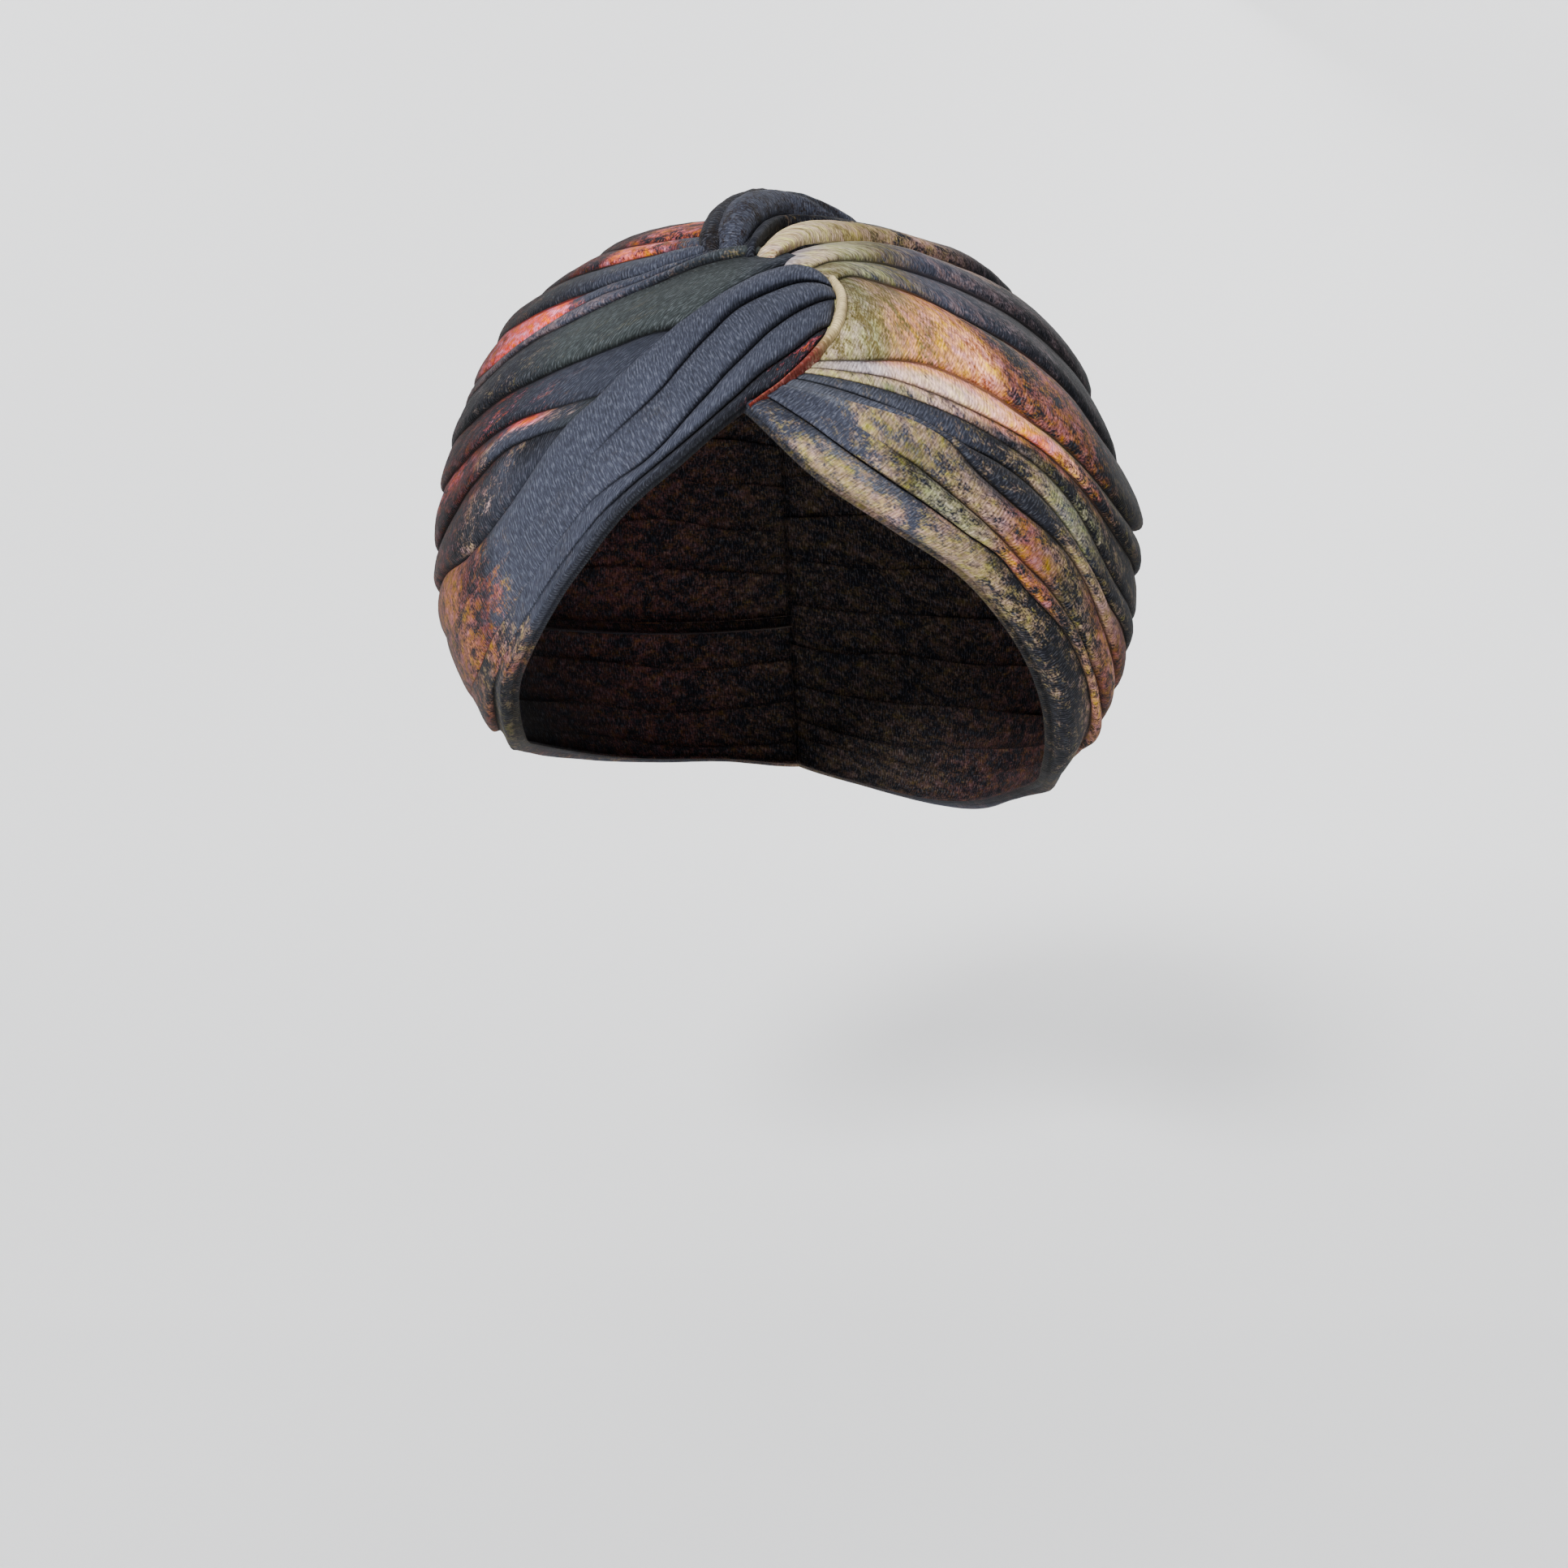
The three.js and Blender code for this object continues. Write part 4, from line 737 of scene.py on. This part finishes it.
def build_lip():
    share = np.linspace(0, 1, 70)
    d = curve_points(knot_edge, share)
    ahead, behind = curve_points(knot_edge, share + 0.01), curve_points(knot_edge, share - 0.01)
    side = -unit(np.cross(unit(ahead - behind), d))
    taper = 0.3 + 0.6 * np.sin(np.pi * np.minimum(1, 0.15 + share * 1.1))
    near = unit(d + side * 0.1 / mean_radius)
    far = unit(near + side * ((lip_width + 0.8) * taper / mean_radius)[:, None])
    t = 0.5 - 0.5 * np.cos(np.pi * np.arange(15) / 14)
    D = unit(near[:, None] * (1 - t[None, :, None]) + far[:, None] * t[None, :, None])
    swell = np.sin(np.pi * np.minimum(1, 0.15 + share * 0.75))
    arch = (1 - np.abs(2 * t - 1) ** 2.2) ** (1 / 1.5)
    H = lip_height * (0.25 + 0.75 * swell)[:, None] * (0.35 + 0.65 * arch)[None, :]
    D, H = extend(D, H, "high", 0.4, 1.5, 3)
    rows, columns = H.shape
    outer, inner = place(D, H), place(D, H - cloth_wall)
    points, quads = closed_shell(outer, inner)
    along = np.concatenate([[0], np.cumsum(np.linalg.norm(np.diff(outer[:, 7], axis=0), axis=1))])
    across = np.linspace(0, 0.004, columns)
    uv = np.stack(np.broadcast_arrays(along[:, None], across[None, :]), -1).reshape(-1, 2)
    uv = np.concatenate([uv, uv + 0.5])
    at = [0, 0.42, 0.52, 0.6, 0.85, 1]
    names = ["cream", "cream", "tan", "red brick", "red brick", "brick"]
    g = np.stack([np.interp(share, at, [linear(n)[k] for n in names]) for k in range(3)], -1)
    ground = np.ones((rows, columns, 4))
    ground[..., :3] = g[:, None, :]
    # painted shade: darker where the lip lies low
    ground[..., 3] = 0.75 + 0.25 * smoothstep(H / 3.0, 0, 0.8)
    stain = np.zeros((rows, columns, 4))
    stain[..., :3] = linear("tan")
    stain[..., 3] = 0.05
    ground = np.tile(ground.reshape(-1, 4), (2, 1))
    stain = np.tile(stain.reshape(-1, 4), (2, 1))
    return make_object("knot_lip_cloth", points, quads, uv, ground, stain)


# Place, height and half thickness in mm at each point of a roll.
loop_back_line = [
    ((-13, 49.4), -1.6, 1.4), ((-15.2, 52.4), 3.0, 3.0), ((-16.4, 58), 5.0, 3.5),
    ((-16.4, 65), 6.2, 3.8), ((-11, 73), 7.0, 4.2), ((6, 80), 6.2, 4.2), ((70, 82), 2.8, 2.6)]
loop_front_line = [
    ((-9.6, 51.2), -1.0, 1.6), ((-10.2, 54.4), 3.2, 4.0), ((-9.6, 60), 5.2, 5.0), ((-5.5, 67), 5.9, 5.5),
    ((5, 72.3), 5.9, 5.5), ((22, 73.6), 5.2, 5.0), ((40, 72.5), 3.4, 3.8), ((54, 70), 1.4, 2.6)]


def build_loop(name, line, turns, seed):
    """Roll of cloth over the crown with the pleats that twist round it."""
    steps, around = 110, 44
    s = np.linspace(0, 1, steps + 1)
    places = np.linspace(0, 1, len(line))
    d = curve_points([q[0] for q in line], s)
    ahead, behind = curve_points([q[0] for q in line], s + 0.01), curve_points([q[0] for q in line], s - 0.01)
    height = np.interp(s, places, [q[1] for q in line])
    half = np.interp(s, places, [q[2] for q in line])
    half = half * (1 + 0.04 * noise(s * 12, s * 0, seed))
    ends = np.sqrt(np.clip(1 - (1 - np.clip(s / 0.06, 0, 1)) ** 2, 0, 1))
    ends = ends * np.sqrt(np.clip(1 - (1 - np.clip((1 - s) / 0.06, 0, 1)) ** 2, 0, 1))
    half = half * (0.15 + 0.85 * ends)
    middle = place(d, height)
    side = unit(np.cross(unit(ahead - behind), d))
    angle = 2 * np.pi * np.arange(around) / around
    A = angle[None, :] + 0 * s[:, None]
    twist = A + turns * 2 * np.pi * s[:, None]
    deep = 0.17 * np.exp(-((np.cos(twist) - 1) / 0.03) ** 2)
    shallow = 0.12 * np.exp(-((np.cos(twist + 2.3) - 1) / 0.04) ** 2)
    groove = 1 - deep - shallow
    groove = groove + 0.02 * rough_noise(s[:, None] * 30 + 0 * A, A * 2, seed + 2)
    r = half[:, None] * groove * 0.001
    points = middle[:, None] + side[:, None] * (r * np.cos(A) * 1.04)[..., None] \
        + d[:, None] * (r * np.sin(A) * 0.97)[..., None]
    points = points.reshape(-1, 3)
    j, k = np.meshgrid(np.arange(steps), np.arange(around), indexing="ij")
    a = (j * around + k).ravel()
    b = (j * around + (k + 1) % around).ravel()
    quads = np.stack([a, b, b + around, a + around], 1)
    # round end caps made of quads folded onto a centre point
    caps = []
    for ring in (0, steps):
        start = len(points)
        inner = points[ring * around:(ring + 1) * around]
        points = np.concatenate([points, inner.mean(0)[None] * 0.55 + inner * 0.45])
        here = np.arange(around)
        after = (here + 1) % around
        band = np.stack([ring * around + here, ring * around + after, start + after, start + here], 1)
        caps.append(band if ring == 0 else band[:, ::-1])
        fan = [[start + i, start + i + 1, start + around - 2 - i, start + around - 1 - i]
               for i in range(around // 2 - 1)]
        caps.append(np.array(fan))
    quads = np.concatenate([quads] + caps)
    return name, points, quads, s, twist, groove, around, steps


def finish_loop(data):
    """Roll's colours, weave direction and outward faces."""
    name, points, quads, s, twist, groove, around, steps = data
    n = len(points)
    ground = np.ones((n, 4))
    ground[:, :3] = linear("slate" if "front" in name else "dark slate")
    # painted shade: darker along the twisted pleat grooves; the end caps are darker throughout
    shade_tone = np.ones(n) * 0.6
    shade_tone[:(steps + 1) * around] = (0.45 + 0.55 * smoothstep(groove, 0.86, 0.99)).ravel()
    ground[:, 3] = shade_tone
    stain = np.ones((n, 4))
    stain[:, :3] = linear("umber")
    stain[:, 3] = 0.4
    uv = np.zeros((n, 2))
    length = 0.075
    uv[:(steps + 1) * around, 0] = np.repeat(s * length, around)
    uv[:(steps + 1) * around, 1] = (np.arange(around)[None, :] / around * 0.03 + 0 * s[:, None]).ravel()
    obj = make_object(name, points, quads, uv, ground, stain)
    bm = bmesh.new()
    bm.from_mesh(obj.data)
    bmesh.ops.recalc_face_normals(bm, faces=bm.faces)
    bm.to_mesh(obj.data)
    bm.free()
    return obj


# jersey material

def jersey(name, rib_mm=0.9, heather=1.7, seed=0.0):
    material = bpy.data.materials.new(name)
    material.use_nodes = True
    nodes, links = material.node_tree.nodes, material.node_tree.links
    nodes.clear()

    def node(kind, **values):
        n = nodes.new(kind)
        for key, value in values.items():
            setattr(n, key, value)
        return n

    def math_node(operation, a, b=None, clamp=False):
        n = node("ShaderNodeMath", operation=operation, use_clamp=clamp)
        for i, value in enumerate((a, b)):
            if value is None:
                continue
            if isinstance(value, (int, float)):
                n.inputs[i].default_value = value
            else:
                links.new(value, n.inputs[i])
        return n.outputs[0]

    def scaled_plus(value, times, plus):
        return math_node("ADD", plus, math_node("MULTIPLY", value, times))

    def ramp(value, low, high):
        n = node("ShaderNodeMapRange", interpolation_type="SMOOTHSTEP")
        links.new(value, n.inputs["Value"])
        n.inputs["From Min"].default_value = low
        n.inputs["From Max"].default_value = high
        return n.outputs["Result"]

    uv = node("ShaderNodeUVMap", uv_map="cloth")

    def stretched(x, y, shift=0.0):
        n = node("ShaderNodeMapping")
        links.new(uv.outputs["UV"], n.inputs["Vector"])
        n.inputs["Scale"].default_value = (x, y, 1)
        n.inputs["Location"].default_value = (seed + shift, seed * 1.7 - shift, 0)
        return n.outputs["Vector"]

    def noise_node(vector, detail, roughness, distortion=0.0):
        n = node("ShaderNodeTexNoise", noise_dimensions="2D")
        links.new(vector, n.inputs["Vector"])
        n.inputs["Scale"].default_value = 1.0
        n.inputs["Detail"].default_value = detail
        n.inputs["Roughness"].default_value = roughness
        n.inputs["Distortion"].default_value = distortion
        return n.outputs["Fac"]

    ground = node("ShaderNodeVertexColor", layer_name="ground")
    stain = node("ShaderNodeVertexColor", layer_name="stain")
    # blotches of the print in three sizes, small and ragged, stretched a little along the folds
    patch = noise_node(stretched(80, 140, 3.1), 3.0, 0.5, 0.4)
    blotch = noise_node(stretched(260, 380, 6.4), 5.0, 0.62, 0.2)
    fine = noise_node(stretched(1300, 1500, 9.2), 2.0, 0.5)
    level = math_node("ADD", math_node("MULTIPLY", patch, 0.26), math_node("MULTIPLY", blotch, 0.42))
    level = math_node("ADD", level, math_node("MULTIPLY", fine, 0.32))
    wanted = math_node("SUBTRACT", 0.645, math_node("MULTIPLY", stain.outputs["Alpha"], 0.29))
    mask = ramp(math_node("SUBTRACT", level, wanted), -0.11, 0.11)
    has_stain = ramp(stain.outputs["Alpha"], 0.0, 0.08)
    mask = math_node("MULTIPLY", mask, has_stain)
    # the stain itself runs from pale to deep and from warm to cool in small flecks
    tint = node("ShaderNodeHueSaturation")
    links.new(stain.outputs["Color"], tint.inputs["Color"])
    hue = noise_node(stretched(230, 300, 12.3), 4.0, 0.7)
    value = noise_node(stretched(460, 600, 15.8), 5.0, 0.72)
    links.new(scaled_plus(hue, 0.24, 0.38), tint.inputs["Hue"])
    links.new(scaled_plus(hue, 1.3, 0.25), tint.inputs["Saturation"])
    links.new(scaled_plus(value, 1.9, 0.05), tint.inputs["Value"])
    mix = node("ShaderNodeMix", data_type="RGBA")
    links.new(mask, mix.inputs["Factor"])
    links.new(ground.outputs["Color"], mix.inputs[6])
    links.new(tint.outputs["Color"], mix.inputs[7])
    colour = mix.outputs[2]
    # patches of lighter and darker dye
    drift = noise_node(stretched(45, 70, 5.5), 4.0, 0.6)
    # heather: short pale and dark threads along the knit columns, which run across the folds
    thread = noise_node(stretched(2200, 480, 1.3), 2.0, 0.6)
    rib = node("ShaderNodeTexWave", wave_type="BANDS", bands_direction="X", wave_profile="SIN")
    links.new(stretched(1, 1), rib.inputs["Vector"])
    rib.inputs["Scale"].default_value = 0.314159 / (rib_mm * 0.001)
    rib.inputs["Distortion"].default_value = 1.2
    rib.inputs["Detail"].default_value = 2.0
    rib.inputs["Detail Scale"].default_value = 0.6
    # the ground alpha holds the painted shade of creases, sides, hems and grooves, and dims the colour by it
    shade = math_node("MULTIPLY", ground.outputs["Alpha"],
                      scaled_plus(drift, 0.5, 0.75))
    thread_shade = scaled_plus(thread, heather, 1.0 - 0.5 * heather)
    rib_shade = scaled_plus(rib.outputs["Fac"], 0.26, 0.87)
    total = math_node("MULTIPLY", math_node("MULTIPLY", shade, thread_shade), rib_shade)
    scaled = node("ShaderNodeVectorMath", operation="SCALE")
    links.new(colour, scaled.inputs[0])
    links.new(total, scaled.inputs["Scale"])
    # pale thread ends
    spark = ramp(thread, 0.52, 0.7)
    light = node("ShaderNodeMix", data_type="RGBA", blend_type="ADD")
    links.new(math_node("MULTIPLY", math_node("MULTIPLY", spark, 0.4), ground.outputs["Alpha"]),
              light.inputs["Factor"])
    links.new(scaled.outputs[0], light.inputs[6])
    light.inputs[7].default_value = (0.075, 0.08, 0.092, 1)
    principled = node("ShaderNodeBsdfPrincipled")
    links.new(light.outputs[2], principled.inputs["Base Color"])
    roughness = math_node("ADD", 0.8, math_node("MULTIPLY", thread, 0.18), clamp=True)
    links.new(roughness, principled.inputs["Roughness"])
    principled.inputs["Specular IOR Level"].default_value = 0.12
    principled.inputs["Sheen Weight"].default_value = 0.03
    principled.inputs["Sheen Roughness"].default_value = 0.45
    # relief: knit columns, threads and a soft puckering
    rib_relief = math_node("MULTIPLY", rib.outputs["Fac"], 0.6)
    relief = math_node("ADD", rib_relief, math_node("MULTIPLY", thread, 0.7))
    pucker = noise_node(stretched(160, 90, 7.7), 3.0, 0.5)
    soft = node("ShaderNodeBump")
    soft.inputs["Strength"].default_value = 0.5
    soft.inputs["Distance"].default_value = 0.0007
    links.new(pucker, soft.inputs["Height"])
    knit = node("ShaderNodeBump")
    knit.inputs["Strength"].default_value = 0.7
    knit.inputs["Distance"].default_value = 0.00016
    links.new(relief, knit.inputs["Height"])
    links.new(soft.outputs["Normal"], knit.inputs["Normal"])
    links.new(knit.outputs["Normal"], principled.inputs["Normal"])
    out = node("ShaderNodeOutputMaterial")
    links.new(principled.outputs["BSDF"], out.inputs["Surface"])
    return material


# pieces

right = build_right()
left = build_left()
wrap = build_wrap()
lip = build_lip()
loop_back = finish_loop(build_loop("twist_loop_back_cloth", loop_back_line, 0.55, 41))
loop_front = finish_loop(build_loop("twist_loop_front_cloth", loop_front_line, 0.6, 47))

pairs = [(right, "right_drape"), (left, "left_drape"), (wrap, "left_wrap"), (lip, "knot_lip"),
         (loop_back, "twist_loop_back"), (loop_front, "twist_loop_front")]
for i, (obj, node_name) in enumerate(pairs):
    obj.data.materials.append(jersey("jersey_" + node_name, seed=3.7 * i))
    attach(obj, "root")
    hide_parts(node_name)


# stage, lights and camera

def backdrop():
    floor_z, back_y, bend = -0.334, 1.6, 0.7
    profile = [(-2.6, floor_z), (back_y - bend, floor_z)]
    for i in range(1, 25):
        a = math.pi / 2 * i / 24
        profile.append((back_y - bend + bend * math.sin(a), floor_z + bend - bend * math.cos(a)))
    profile.append((back_y, 2.4))
    verts = [(x, y, z) for y, z in profile for x in (-3.2, 3.2)]
    faces = [(2 * i, 2 * i + 1, 2 * i + 3, 2 * i + 2) for i in range(len(profile) - 1)]
    mesh = bpy.data.meshes.new("backdrop")
    mesh.from_pydata(verts, [], faces)
    mesh.update()
    for p in mesh.polygons:
        p.use_smooth = True
    obj = bpy.data.objects.new("backdrop", mesh)
    bpy.context.collection.objects.link(obj)
    material = bpy.data.materials.new("pale_paper")
    material.use_nodes = True
    shader = material.node_tree.nodes["Principled BSDF"]
    shader.inputs["Base Color"].default_value = (0.93, 0.935, 0.945, 1)
    shader.inputs["Roughness"].default_value = 0.95
    shader.inputs["Specular IOR Level"].default_value = 0.1
    mesh.materials.append(material)


def area_light(name, at, to, size, power):
    light = bpy.data.lights.new(name, "AREA")
    light.shape = "DISK"
    light.size = size
    light.energy = power
    obj = bpy.data.objects.new(name, light)
    bpy.context.collection.objects.link(obj)
    obj.location = at
    aim = np.array(to) - np.array(at)
    yaw = math.atan2(aim[1], aim[0]) - math.pi / 2
    pitch = math.atan2(aim[2], math.hypot(aim[0], aim[1]))
    obj.rotation_euler = (math.pi / 2 + pitch, 0, yaw)


backdrop()
area_light("key", (-0.55, -1.6, 0.85), (0, 0, -0.08), 0.45, 63)
area_light("fill", (0.6, -1.7, -0.1), (0, 0.1, -0.1), 1.2, 7)
area_light("top", (-0.1, 0.2, 1.5), (0, 0.1, -0.1), 1.2, 5)
area_light("back", (0.5, 1.3, 0.8), (0, 0, -0.08), 1.0, 9)
# two lights for the backdrop, turned away from the hat
area_light("wall left", (-1.4, 0.5, 1.3), (-0.8, 2.38, 0.98), 0.6, 34)
area_light("wall right", (1.4, 0.5, 1.3), (0.8, 2.38, 0.98), 0.6, 34)

world = bpy.data.worlds.new("studio")
world.use_nodes = True
world.node_tree.nodes["Background"].inputs["Color"].default_value = (0.94, 0.96, 1.0, 1)
world.node_tree.nodes["Background"].inputs["Strength"].default_value = 0.1
bpy.context.scene.world = world

camera_data = bpy.data.cameras.new("camera")
camera = bpy.data.objects.new("camera", camera_data)
bpy.context.collection.objects.link(camera)
camera.location = (0, -0.62, -0.0617)
camera.rotation_euler = (math.radians(90 - 8.3), 0, 0)
camera_data.sensor_width = 36
camera_data.lens = 2700 / 1932 * 36
camera_data.shift_x = -0.001
camera_data.clip_start = 0.01
camera_data.clip_end = 20
bpy.context.scene.camera = camera
